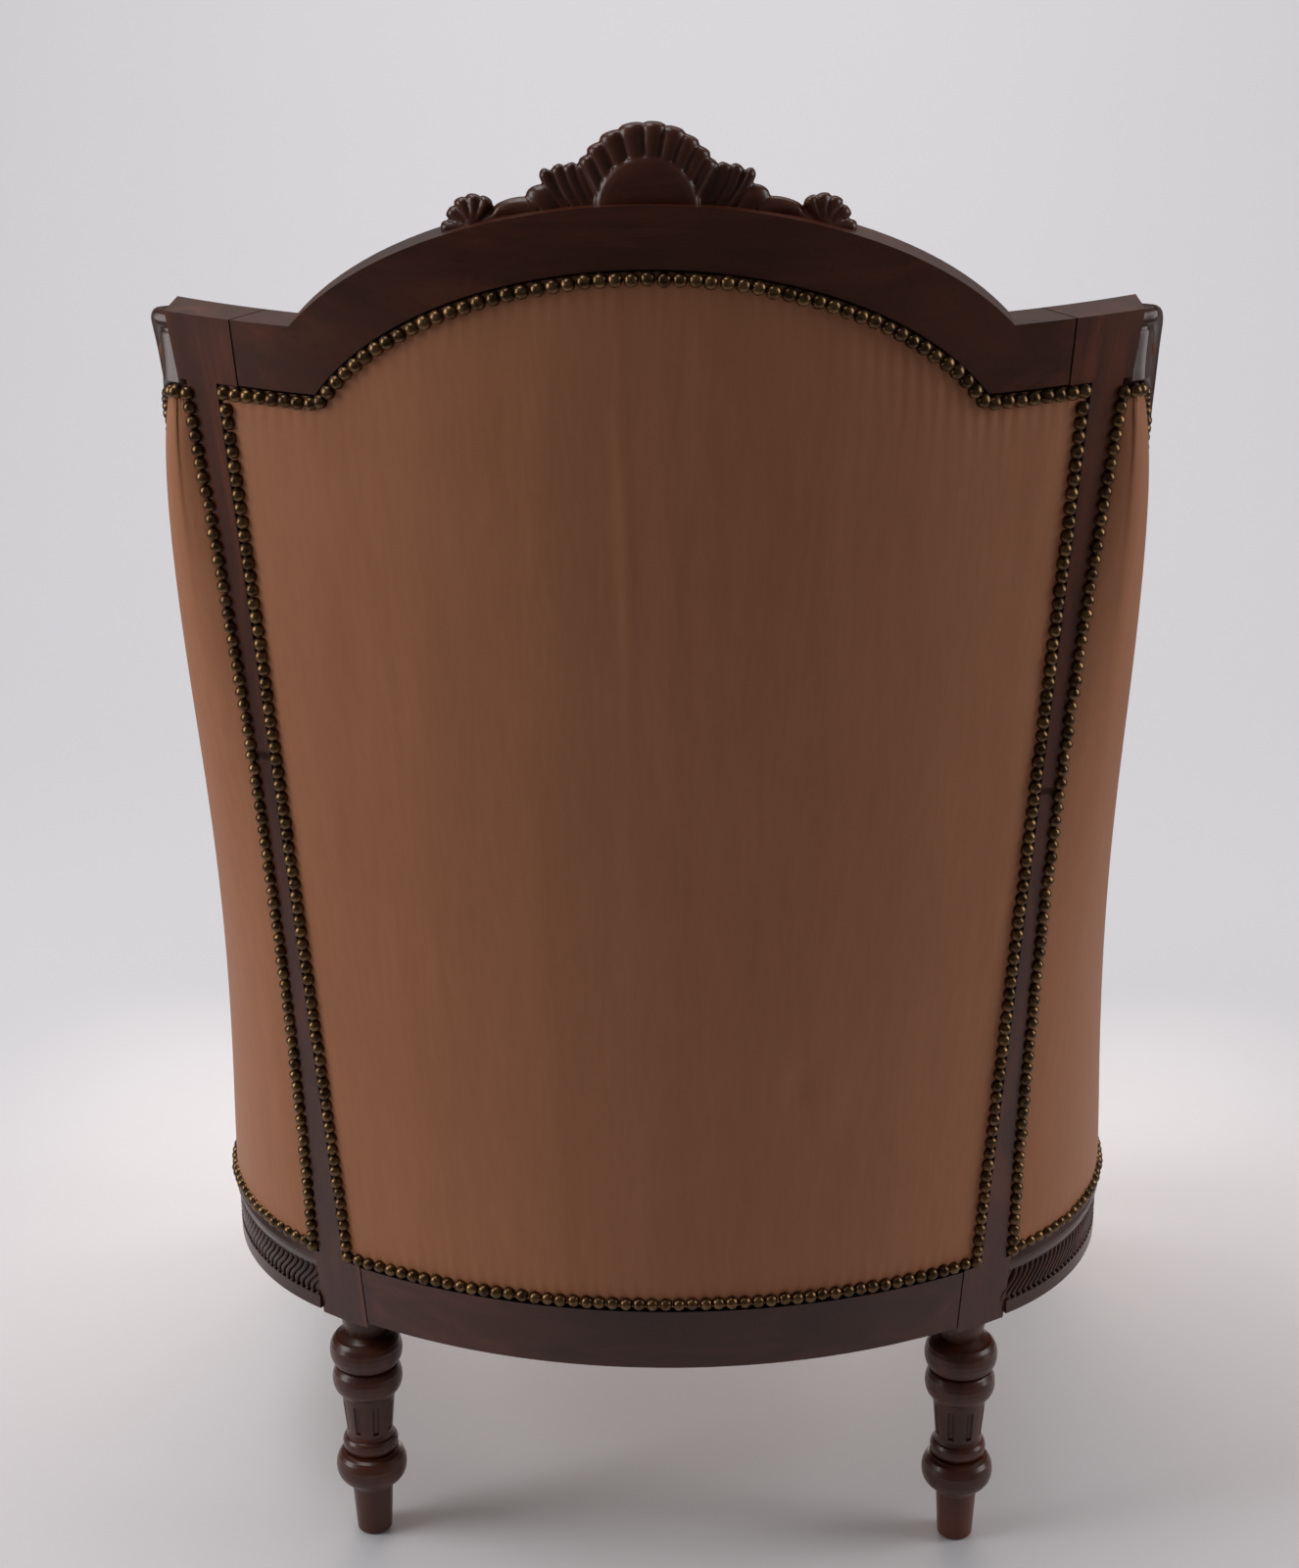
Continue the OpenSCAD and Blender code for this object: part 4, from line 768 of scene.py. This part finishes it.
wing_shares = ((0.267, 0.665, 1.000), (0.383, 0.592, 0.975), (0.465, 0.500, 0.880),
               (0.534, 0.388, 0.710), (0.587, 0.277, 0.505), (0.639, 0.166, 0.315),
               (0.703, 0.042, 0.170), (0.796, -0.111, 0.075), (0.907, -0.283, 0.025),
               (0.983, -0.443, 0.005), (1.000, -0.545, 0.000))
wing_step = np.array((7.5, -5.2, 0.0))
wing_start = np.array((edge_x(wing_under), edge_y(wing_under), wing_under)) + wing_step
wing_points = np.array([wing_start, wing_start + wing_step]
                       + [(edge_x(wing_under) + s[0] * (arm_half_w - edge_x(wing_under)),
                           s[1] * half_depth, arm_under + s[2] * (wing_under - arm_under))
                          for s in wing_shares])


def smooth_point(p, i, t):
    a, b = p[max(i - 1, 0)], p[i]
    c, d = p[min(i + 1, len(p) - 1)], p[min(i + 2, len(p) - 1)]
    return 0.5 * (2 * b + (c - a) * t + (2 * a - 5 * b + 4 * c - d) * t * t
                  + (3 * b - a - 3 * c + d) * t * t * t)


def smooth_line(p, steps):
    return np.array([smooth_point(p, i, k / steps) for i in range(len(p) - 1)
                     for k in range(steps)] + [p[-1]])


front_leg_x, front_leg_y = 306.88, -317.739
support_shares = ((-0.50, 0.50, 0.00), (-0.42, 0.62, 0.12), (-0.20, 0.52, 0.32),
                  (0.10, 0.10, 0.55), (0.50, -0.62, 0.77), (0.86, -1.40, 0.93),
                  (1.00, -1.75, 1.00))
support_foot = np.array((side_x(front_leg_y), front_leg_y - 13.0, rail_show_top))
support_top = arm_under - 0.3
support_reach = 0.47 * (wing_points[-1][1] - support_foot[1])
support_points = np.array([
    (support_foot[0] + (s[0] * 0.5 + 0.5) * (wing_points[-1][0] - support_foot[0]),
     support_foot[1] + (0.6 - s[1]) * support_reach,
     rail_show_top + s[2] * (support_top - rail_show_top)) for s in support_shares])
support_line = smooth_line(support_points, 4)


def support_at(z):
    """Where the arm support's middle line is at a height, in the plan."""
    return np.array([np.interp(z, support_line[:, 2], support_line[:, k]) for k in (0, 1)])


def unit(v):
    return v / np.linalg.norm(v)


def path_at(i):
    i = min(max(i, 0.0), len(wing_points) - 1.0)
    first = min(int(i), len(wing_points) - 2)
    return smooth_point(wing_points, first, i - first)


def rail_ring(section, i):
    """The moulding's section across the path; near the post it faces one way."""
    faces_from, reach = 2.75, 0.25
    j = max(i, faces_from)
    t = unit(path_at(min(j + reach, 12)) - path_at(j - reach))
    n = unit(np.array((-t[1], t[0], 0)))
    up = np.cross(t, n)
    origin = path_at(i) if i >= 0 else wing_points[0] + 2 * i * wing_step
    return [origin + n * q[0] + up * q[1] for q in section]


rail_section = [(-0.9, 0.0), (-0.2, 0.3), (0.0, 1.1), (-0.3, 8), (-0.5, 16), (-0.3, 24),
                (0.0, 30.4), (-0.2, 31.8), (-1.2, 32.9), (-1.5, 34.4), (-0.8, 35.7),
                (1.0, 36.3), (3.0, 37.9), (4.2, 40.0), (4.5, 42.2), (4.0, 44.5), (2.7, 46.5),
                (0.6, 47.7), (-1.8, 48.1), (-9, 48.4), (-18, 48.5), (-27, 48.4), (-33.2, 48.0),
                (-35.2, 47.2), (-36.0, 45.4), (-36.0, 2.6), (-35.3, 0.8), (-33.6, 0.0)]


def loft(name, rings, material, crease=35, grain=None):
    rings = np.array(rings, float)
    k, n = rings.shape[:2]
    made = mesh_object(name, rings.reshape(-1, 3) * MM, tube(k, n, flip=True), material, crease)
    if grain is not None:
        run = run_along(rings.mean(axis=1))
        flow = np.zeros((k, n, 3))
        flow[..., 0] = np.array(grain)[None, :, 0]
        flow[..., 1] = run[:, None]
        flow[..., 2] = np.array(grain)[None, :, 1]
        attribute = made.data.attributes.new("grain", "FLOAT_VECTOR", "POINT")
        attribute.data.foreach_set("vector", (flow * MM).astype(np.float32).ravel())
    return made


def cut(thing, tool, way="DIFFERENCE"):
    blade = thing.modifiers.new("joint", "BOOLEAN")
    blade.operation = way
    blade.solver = "EXACT"
    blade.object = tool
    settle(thing)
    bpy.data.objects.remove(tool)


# The wing rails, arms and arm supports are a painted-light copy, brighter than the side rails
# and darker than the posts.
wood_along = mahogany("mahogany_grain_along_the_stick", 1, "grain", light=1.4)


def post_room():
    """The space that the rear post takes up at the top, a hair wider than the post."""
    rings = []
    for z in np.linspace(890, 1000, 12):
        r, x = back_r(z), edge_x(z) + 0.15
        outer = [(v, axis_y + math.sqrt((r + 9) ** 2 - v * v)) for v in np.linspace(200, x, 9)]
        inner = [(v, axis_y + math.sqrt((r - 38.3) ** 2 - v * v))
                 for v in np.linspace(x, 200, 9)]
        rings.append([(*q, z) for q in outer + inner])
    return loft("post_room", rings, wood_upright)


def mirrored(thing, name):
    """The same piece for the other side of the chair."""
    mesh = thing.data.copy()
    mesh.transform(Matrix.Diagonal((-1, 1, 1, 1)))
    mesh.flip_normals()
    return placed(name, mesh)


def both_sides(thing, node):
    thing.name = node + "_left_look"
    other = mirrored(thing, node + "_right_look")
    own(thing, node + "_left")
    own(other, node + "_right")


rail_places = [-0.5, 0.0] + [k / 10 for k in range(1, 81)]
wing_rail = loft("wing_rail", [rail_ring(rail_section, i) for i in rail_places], wood_along,
                 grain=rail_section)
cut(wing_rail, post_room())
both_sides(wing_rail, "wing_rail")

scroll_place = wing_points[-1] + np.array((-18.0, -5.4, 22.89))
arm = loft("arm", [rail_ring(rail_section, 8 + k / 10) for k in range(41)], wood_along,
           grain=rail_section)
scroll_half = [(-22.0, 1.5), (-22.4, 5.0), (-21.6, 8.4), (-20.2, 10.4), (-18.6, 11.4),
               (-18.4, 13.0), (-19.5, 14.6), (-19.8, 18), (-19.6, 23), (-18.6, 25.8),
               (-16.4, 27.0)]
scroll_rings = [[scroll_place + (h, r * c, r * s) for c, s in full_turn(48)]
                for h, r in scroll_half + [(-h, r) for h, r in scroll_half[::-1]]]
lowest = (-999, -999, arm_under + 0.3)
scroll = loft("scroll", np.maximum(scroll_rings, lowest), wood_upright)
turns = 2.4 * math.pi
for face in (-1, 1):
    ridge = []
    for a in np.linspace(0.2, turns, 60):
        away = np.array((0, -math.cos(a), math.sin(a)))
        centre = scroll_place + (face * 19.6, 0, 0) + away * (24.4 - 9.0 * a / turns)
        ridge.append([centre + away * 1.5 * c + (1.1 * s, 0, 0) for c, s in full_turn(8)])
    cut(scroll, loft("ridge", np.maximum(ridge, lowest), wood_upright), "UNION")
cut(arm, scroll, "UNION")
both_sides(arm, "arm")

# Each arm support is one S-curved piece with eased edges that stands on the front block.
support_section = []
for cx, cy, turn in ((-5.5, 28.5, 0), (-34.5, 28.5, 90), (-34.5, 5.5, 180), (-5.5, 5.5, 270)):
    for k in range(6):
        a = math.radians(turn + 90 * k / 5)
        support_section.append((cx + 5.5 * math.cos(a), cy + 5.5 * math.sin(a)))
fine_support = smooth_line(support_points, 12)
support = loft("arm_support", [[p + np.array((q[0], q[1] - 17.0, 0)) for q in support_section]
                               for p in fine_support], wood_along, grain=support_section)
both_sides(support, "arm_support")

# The outside covers of the sides are of the same satin. Each is nailed along the post, under
# the wing rail and the arm, behind the arm support and over the side seat rail.
behind_support = 17.3
side_front_y = support_points[0][1] + behind_support


def low_edge(u):
    bend = corner_r * math.radians(corner_end - block_end)
    s = u * (bend + side_start_y - side_front_y)
    if s < bend:
        a = math.radians(block_end) + s / corner_r
        return np.array((corner_x + corner_r * math.sin(a), corner_y + corner_r * math.cos(a),
                         rail_show_top))
    y = side_start_y - (s - bend)
    return np.array((side_x(y), y, rail_show_top))


def high_edge(u):
    s = u * (len(wing_points) - 1 - 0.3)
    i = min(int(s), len(wing_points) - 2)
    return smooth_point(wing_points, i, s - i)


def rear_edge(v):
    z = rail_show_top + v * (wing_under - rail_show_top)
    return np.array((edge_x(z) + 0.3, edge_y(z), z))


side_corners = low_edge(0), low_edge(1), high_edge(0), high_edge(1)


def front_edge(v):
    z = rail_show_top + v * (side_corners[3][2] - rail_show_top)
    return np.array((*(support_at(z) + (0.0, behind_support)), z))


def side_patch(u, v):
    low0, low1, high0, high1 = side_corners
    return ((1 - v) * low_edge(u) + v * high_edge(u)
            + (1 - u) * (rear_edge(v) - (1 - v) * low0 - v * high0)
            + u * (front_edge(v) - (1 - v) * low1 - v * high1))


def side_outward(u, v):
    a, b = min(max(u, 0.01), 0.99), min(max(v, 0.01), 0.99)
    along = side_patch(a + 0.01, b) - side_patch(a - 0.01, b)
    up = side_patch(a, b + 0.01) - side_patch(a, b - 0.01)
    return unit(np.cross(up, along))


columns, rows = 181, 131
front, back = np.zeros((2, columns, rows, 3))
low_run = corner_r * math.radians(corner_end - block_end) + side_start_y - side_front_y
for i in range(columns):
    u = i / (columns - 1)
    rise = high_edge(u)[2] - rail_show_top
    to_side = min(u, 1 - u) * low_run
    for j in range(rows):
        v = 0.003 + (0.995 - 0.003) * j / (rows - 1)
        place = side_patch(u, v)
        n = side_outward(u, v)
        to_end = min(v, 1 - v) * rise
        edge = min(to_side, to_end)
        run = place[2] if to_side <= to_end else u * low_run * 1.1
        swell = 13.5 * math.exp(-((u - 0.19) / 0.25) ** 2 - ((v - 0.79) / 0.33) ** 2)
        swell *= (1 - math.exp(-to_side / 38)) * (1 - math.exp(-to_end / 38))
        folds = 0.4 * math.sin(u * 19 + v * 2) * math.sin(v * 5 + 1) * min(edge / 25, 1)
        depth = edge_depth - nailed(edge, run, 0.5, 3.0, 22) - folds - swell
        front[i, j] = place - n * depth
        back[i, j] = place - n * (3.1 - swell)
two_sides = ("left", np.array((1, 1, 1))), ("right", np.array((-1, 1, 1)))
for side, flip in two_sides:
    cover = panel("outside_side_satin_" + side, front * flip, back * flip, satin_upright)
    own(cover, "outside_side_cover_" + side)
    cut_area(front)
    "rear_post_" + side
    "side_seat_rail_" + side


def side_row(places):
    """Even nails along a line of (u, v) places of the side."""
    line = [side_patch(u, v) for u, v in places]
    return [(side_patch(u, v), side_outward(u, v)) for u, v in spaced(line, nail_pitch, places)]


span = wing_under - rail_show_top
u_in, v_in = 5.2 / low_run, 5.4 / span
post_row = side_row([(u_in, v) for v in np.linspace(v_in, 1 - v_in, 60)])
wing_row = side_row([(u, 1 - 5.4 / (high_edge(u)[2] - rail_show_top))
                     for u in np.linspace(u_in, 1 - u_in, 120)])
support_row = side_row([(1 - 2 * u_in, v) for v in np.linspace(1 - 0.02, 0.02, 60)])
rail_row = [(p - 1.3 * n, n) for p, n in
            side_row([(u, v_in * 1.15) for u in np.linspace(u_in, 1 - 2 * u_in, 80)])]
side_nails = post_row[:-1] + wing_row + support_row[1:-1] + rail_row[1:]
for side, flip in two_sides:
    nails("outside_side_nails_" + side, [p * flip for p, n in side_nails],
          [n * flip for p, n in side_nails])

# The side rails and the front rail carry a sunk band of carved basket work: slanting
# strands, cut by hand, that overlap like the strands of a plait.
section = 8
strand_points = []
strand_steps = 10
for k in range(strand_steps + 1):
    t = k / strand_steps
    y = t - 0.5
    lean = 1.45 * (t - 0.5) + 0.2 * math.sin(2 * math.pi * (t - 0.5))
    wide = 0.29 * (0.45 + 0.55 * math.sin(math.pi * min(max(t, 0.03), 0.97)) ** 0.6)
    tall = 0.25 + 0.75 * math.sin(math.pi * min(max(t, 0.04), 0.96)) ** 0.5
    for m in range(section):
        a = math.pi * (m / (section - 1))
        strand_points.append((lean + wide * math.cos(a), y, tall * math.sin(a) - 0.15))
strand = helper("strand", strand_points, tube(strand_steps + 1, section, flip=True))
band_z, band_h, band_in, strand_pitch = 226.0, 26.0, 2.4, 5.9
block_half, bow_rise = 26.0, 18.0
front_half = front_leg_x - block_half
bow_r = (front_half ** 2 + bow_rise ** 2) / (2 * bow_rise)


def plan_row(points, outwards):
    line, away = np.array(points), np.array(outwards)
    run = run_along(line)
    found = []
    for a in np.linspace(0.5 * strand_pitch, run[-1] - 0.5 * strand_pitch,
                         int(run[-1] / strand_pitch)):
        p = [np.interp(a, run, line[:, k]) for k in range(2)]
        n = unit(np.array([np.interp(a, run, away[:, k]) for k in range(2)]))
        found.append(((*p, band_z), (*n, 0)))
    return found


side_line, side_away = [], []
for a in np.linspace(math.radians(block_end), math.radians(corner_end), 60):
    side_line.append((corner_x + (corner_r - band_in) * math.sin(a),
                      corner_y + (corner_r - band_in) * math.cos(a)))
    side_away.append((math.sin(a), math.cos(a)))
for y in np.linspace(side_start_y, front_leg_y + block_half, 30)[1:]:
    side_line.append((side_x(y) - band_in, y))
    side_away.append((math.cos(math.radians(side_taper)), -math.sin(math.radians(side_taper))))
side_strands = plan_row(side_line, side_away)


def front_spot(x, depth, z):
    """A place on the bowed front rail, a depth behind its face."""
    a = math.asin(x / bow_r)
    return ((bow_r - depth) * math.sin(a), front_y + bow_r - (bow_r - depth) * math.cos(a), z)


front_x = np.linspace(-front_half, front_half, 80)
front_strands = plan_row([front_spot(x, band_in, band_z) for x in front_x],
                         [(x / bow_r, -math.sqrt(1 - (x / bow_r) ** 2)) for x in front_x])


def carve(name, places, sign, material):
    """Slanting strands that lean forwards on both sides of the chair."""
    made = []
    for p, n in places:
        away = Vector((n[0] * sign, n[1], 0))
        onward = Vector((0, 0, 1)).cross(away) * sign
        made.append(((p[0] * sign, p[1], p[2]), tuple(away), tuple(onward), 1.0))
    stand_row(name, made, strand, 9.6, band_h - 0.5, 3.0, material)


tooth = turned_shape("tooth", [(0.5, -0.3), (0.5, 0.2), (0.36, 0.7), (0.12, 1.0)], 8)


def carve_teeth(name, places, sign, material):
    """Small drops that end the strands along both edges of the band."""
    made = []
    for p, n in places:
        away = (n[0] * sign, n[1], 0)
        for rise in (0.8 - band_h / 2, band_h / 2 - 0.8):
            made.append(((p[0] * sign, p[1], p[2] + rise), away, (0, 0, 1), 1.0))
    stand_row(name, made, tooth, 3.9, 4.6, 2.6, material)


carved_rails = (("side_rail_{}_left", side_strands, 1, wood_forward),
                ("side_rail_{}_right", side_strands, -1, wood_forward),
                ("front_rail_{}", front_strands, 1, wood_across))
for name, places, sign, wood in carved_rails:
    carve_teeth(name.format("teeth"), places, sign, wood)
for name, places, sign, wood in carved_rails:
    carve(name.format("strands"), places, sign, wood)
for spare in (strand, tooth):
    bpy.data.objects.remove(spare)

# Inside the seat and the back: beech tacking rails and corner blocks, dowels, jute webbing,
# steel springs and a black cotton cloth under the seat.
beech = Finish("plain_beech")
rings_of_wood = beech.noise(beech.place(scale=(1, 8, 8)), 9, 5, 0.6, 0.8)
beech.finish(Base_Color=beech.ramp(rings_of_wood, [(0.3, (0.36, 0.21, 0.10)),
                                                   (0.7, (0.52, 0.34, 0.18))]),
             Roughness=0.6 + rings_of_wood * 0.2, Normal=beech.bump(rings_of_wood, 0.0006, 0.5))
dress(["back_tacking_rail", "side_tacking_rail_left", "side_tacking_rail_right",
       "rear_corner_block_left", "rear_corner_block_right", "front_corner_block_left",
       "front_corner_block_right", "rail_dowels"], beech.material)
jute = Finish("jute_webbing")
threads = jute.noise(jute.place(scale=(1, 0.15, 1)), 700, 1, 0.5)
crossing = jute.noise(jute.place(scale=(0.15, 1, 0.3)), 600, 1, 0.5)
jute.finish(Base_Color=jute.ramp(threads * 0.5 + crossing * 0.5,
                                 [(0.35, (0.20, 0.13, 0.065)), (0.65, (0.46, 0.33, 0.19))]),
            Roughness=0.9, Normal=jute.bump(threads + crossing, 0.0008, 0.8))
dress(["seat_webbing", "back_webbing"], jute.material)
steel = Finish("coppered_steel")
dull = steel.noise(steel.place(), 90, 3, 0.6)
steel.finish(Base_Color=steel.ramp(dull, [(0.3, (0.20, 0.15, 0.12)), (0.7, (0.50, 0.42, 0.36))]),
             Metallic=0.9, Roughness=0.35 + dull * 0.25)
dress(["seat_springs", "block_screws"], steel.material)
black = Finish("black_cotton")
warp = black.noise(black.place(scale=(1, 0.1, 1)), 900, 1, 0.5)
black.finish(Base_Color=black.ramp(warp, [(0.3, (0.010, 0.010, 0.011)),
                                          (0.7, (0.030, 0.029, 0.031))]),
             Roughness=0.95, Normal=black.bump(warp, 0.0004, 0.6))

# The stuffing is hair under cotton wadding and satin, stitched to the frame: one piece in the
# back, one in each side, one on each arm and the sprung platform of the seat.
satin_forward = satin("satin_threads_forward", (1.0, 0.02, 1.0))


def coordinates(mesh):
    at = np.empty(len(mesh.vertices) * 3, np.float32)
    mesh.vertices.foreach_get("co", at)
    return at.reshape(-1, 3).astype(float) / MM


def place_points(mesh, at):
    mesh.vertices.foreach_set("co", (at * MM).astype(np.float32).ravel())
    mesh.update()


def stuffed(node, body, material, voxel, inset, reach, held=None):
    """A padded piece with its node's form: a little smaller first, then blown up."""
    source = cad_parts[node]
    mesh = source.data.copy()
    mesh.transform(source.matrix_world)
    work = bmesh.new()
    work.from_mesh(mesh)
    bmesh.ops.remove_doubles(work, verts=work.verts, dist=0.02 * MM)
    work.to_mesh(mesh)
    work.free()
    mesh.materials.clear()
    mesh.materials.append(material)
    thing = placed(node + "_stuffed", mesh)
    even = thing.modifiers.new("even_mesh", "REMESH")
    even.mode = "VOXEL"
    even.voxel_size = voxel * MM
    ease = thing.modifiers.new("ease", "SMOOTH")
    ease.factor = 0.5
    ease.iterations = 5
    settle(thing)
    mesh = thing.data
    before = coordinates(mesh)
    normal = np.array([tuple(n.vector) for n in mesh.vertex_normals])
    shrunk = before - normal * inset
    place_points(mesh, shrunk)
    cloth = thing.modifiers.new("stuffing", "CLOTH")
    fabric = cloth.settings
    fabric.quality = 4
    fabric.mass = 0.25
    fabric.use_pressure = True
    fabric.uniform_pressure_force = 4.0
    fabric.shrink_min = -0.05
    fabric.effector_weights.gravity = 0.0
    cloth.collision_settings.use_collision = False
    last_frame = 20
    cloth.point_cache.frame_start, cloth.point_cache.frame_end = 1, last_frame
    if held is not None:
        group = thing.vertex_groups.new(name="held")
        group.add(np.flatnonzero(held(shrunk)).tolist(), 1.0, "REPLACE")
        fabric.vertex_group_mass = "held"
    for number in range(1, last_frame + 1):
        scene.frame_set(number)
    seen = thing.evaluated_get(bpy.context.evaluated_depsgraph_get())
    move = coordinates(seen.data) - shrunk
    thing.modifiers.clear()
    thing.vertex_groups.clear()
    scene.frame_set(1)
    size = np.linalg.norm(move, axis=1)
    limit = np.broadcast_to(reach(shrunk, normal) if callable(reach) else reach, size.shape)
    move *= np.minimum(1.0, limit / np.maximum(size, 1e-6))[:, None]
    place_points(mesh, shrunk + move)
    finer = thing.modifiers.new("finer", "SUBSURF")
    finer.levels = finer.render_levels = 1
    settle(thing)
    thing.data.shade_smooth()
    own(thing, node, body)
    return thing


def back_depth(at):
    return back_r(at[:, 2]) - np.hypot(at[:, 0], at[:, 1] - axis_y)


stuffed("inside_back_pad", "chair", satin_upright, 6.5, 0.6,
        lambda at, n: np.clip((back_depth(at) - 40) * 0.18, 0.0, 7.0),
        lambda at: back_depth(at) < 46)
for side in ("left", "right"):
    stuffed("inside_side_pad_" + side, "chair", satin_upright, 5.0, 0.4, 2.0)
    stuffed("arm_pad_" + side, "chair", satin_forward, 2.6, 0.5, 1.2)
stuffed("seat_deck", "chair", satin_forward, 7.0, 0.8, 0.8)

# Rolls of the same satin close the gaps round the sides' stuffing: one in each inside corner,
# one behind each arm support and one along the inside of each wing rail and arm.
def roll(name, line, radius, blunt, material, level=True):
    """A padded roll along a line, rounded off at both ends, and the same on the right."""
    rings, last = [], len(line) - 1
    across, up = np.eye(3)[:2]
    for i, p in enumerate(line):
        if not level:
            t = unit(line[min(i + 1, last)] - line[max(i - 1, 0)])
            across = unit(np.cross(t, (0, 0, 1)))
            up = np.cross(across, t)
        r = radius * min(1.0, blunt + min(i, last - i) / 3)
        rings.append([p + r * (c * across + s * up) for c, s in full_turn(16)])
    left = loft(name + "_left", rings, material, 80)
    for piece in (left, mirrored(left, name + "_right")):
        own(piece)


roll("inside_corner_roll", smooth_line(np.array([
    (224.0, 152.5, 301.0), (229.0, 169.0, 450.0), (236.0, 185.0, 600.0), (246.0, 200.0, 750.0),
    (254.5, 213.0, 880.0), (258.0, 219.0, 934.0)]), 10), 7.5, 0.35, satin_upright)
roll("inside_front_roll", np.array([
    (*(support_at(z) + (-45.0, 26.4)), z) for z in np.linspace(302.0, 589.0, 30)]),
     8.4, 0.45, satin_upright)
roll("inside_top_roll", np.array([high_edge(u) - 43.6 * side_outward(u, 0.99) + (0, 0, 5.0)
                                  for u in np.linspace(0.05, 0.955, 90)]),
     6.6, 0.45, satin_forward, level=False)

# A strip of the same satin comes down over the front rail, nailed above its bead.
strip_front = ((1.6, 254.8), (1.0, 257.5), (0.7, 260.5), (0.9, 263.5), (1.7, 266.6),
               (3.4, 269.2), (6.2, 270.5), (11.6, 271.3))
strip_back = ((3.4, 254.8), (3.4, 257.5), (3.4, 260.5), (3.4, 263.5), (3.4, 266.6),
              (3.7, 268.3), (6.4, 268.5), (11.6, 268.7))
strip_x = np.linspace(-front_half + 0.4, front_half - 0.4, 241)
front = np.array([[front_spot(x, d - 0.35 * math.cos(2 * math.pi * x / nail_pitch)
                              * math.exp(-(z - 254.8) / 8), z) for d, z in strip_front]
                  for x in strip_x])
back = np.array([[front_spot(x, d, z) for d, z in strip_back] for x in strip_x])
strip = panel("front_rail_satin", front, back, satin_forward)
own(strip)
cut_area(front)
front_nails = spaced([front_spot(x, 1.2, 260.6) for x in
                      np.linspace(-front_half + 5, front_half - 5, 60)], nail_pitch)
nails("front_rail_nails", front_nails, [(p[0] / bow_r, -1.0, 0.0) for p in front_nails])

# The loose cushion is a feather cushion in a boxed satin case, piped round both its edges.
cushion_low, cushion_high, seam_in, piping_r = 300.3, 418.3, 13.0, 3.0


def seam_edge(at):
    z = at[:, 2]
    return ((np.abs(z - cushion_low - seam_in) < 4) | (np.abs(z - cushion_high + seam_in) < 4)
            | (z < cushion_low + 3))


cushion = stuffed("seat_cushion", "cushion", satin_forward, 6.0, 3.6,
                  lambda at, n: np.where(n[:, 2] > 0.5, 7.0, np.where(n[:, 2] < -0.5, 2.4, 2.0)),
                  seam_edge)
tree = BVHTree.FromPolygons([v.co[:] for v in cushion.data.vertices],
                            [p.vertices[:] for p in cushion.data.polygons])


def cord(name, line, radius, material, body):
    """A closed round cord along a ring of points, in millimetres."""
    line = np.array(line)
    count, sides = len(line), 8
    points = []
    for i in range(count):
        t = unit(line[(i + 1) % count] - line[i - 1])
        n = unit(np.cross(t, (0, 0, 1)))
        b = np.cross(t, n)
        points += [(line[i] + radius * (c * n + s * b)) * MM for c, s in full_turn(sides)]
    made = mesh_object(name, points, tube(count, sides, joined=True), material, 80)
    own(made, body=body)


for name, z in (("cushion_piping_top", cushion_high - seam_in),
                ("cushion_piping_bottom", cushion_low + seam_in)):
    ring = []
    for a in np.linspace(0, 2 * math.pi, 241)[:-1]:
        way = Vector((math.cos(a), math.sin(a), 0))
        hit = tree.ray_cast(Vector((0, -0.06, z * MM)) + way, -way)[0]
        ring.append(np.array(hit) / MM)
    ring = np.array(ring)
    for _ in range(3):
        ring = 0.25 * np.roll(ring, 1, 0) + 0.5 * ring + 0.25 * np.roll(ring, -1, 0)
    cord(name, ring, piping_r, satin_forward, "cushion")

# The bottom cloth is thin black cotton, tacked under the seat frame and slack between.
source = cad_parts["bottom_cloth"]
corners = [source.matrix_world @ v.co for v in source.data.vertices]
cloth_low, cloth_high = (choose(v.z for v in corners) / MM for choose in (min, max))
tree = BVHTree.FromPolygons([tuple(v) for v in corners],
                            [p.vertices[:] for p in source.data.polygons])
outline = []
for a in np.linspace(0, 2 * math.pi, 361)[:-1]:
    way = Vector((math.cos(a), math.sin(a), 0))
    hit = tree.ray_cast(Vector((0, 0, (cloth_low + cloth_high) / 2 * MM)) + way, -way)[0]
    outline.append((hit.x / MM, hit.y / MM))
outline = np.array(outline)


def slack_ring(share, z):
    x, y = (outline * share).T
    inside = np.clip(1 - (x / 300) ** 2, 0, 1) * np.clip(1 - ((y + 20) / 300) ** 2, 0, 1)
    sag = 4.0 * inside + 0.5 * inside * np.sin(x / 21) * np.sin(y / 37 + 1)
    return np.stack([x, y, z - sag], axis=1)


shares = np.linspace(0.01, 1.0, 34)
bottom = loft("bottom_cloth_slack", [slack_ring(s, cloth_low) for s in shares]
              + [slack_ring(s, cloth_high) for s in shares[::-1]], black.material)
own(bottom, "bottom_cloth")

bpy.data.objects.remove(nail_head)
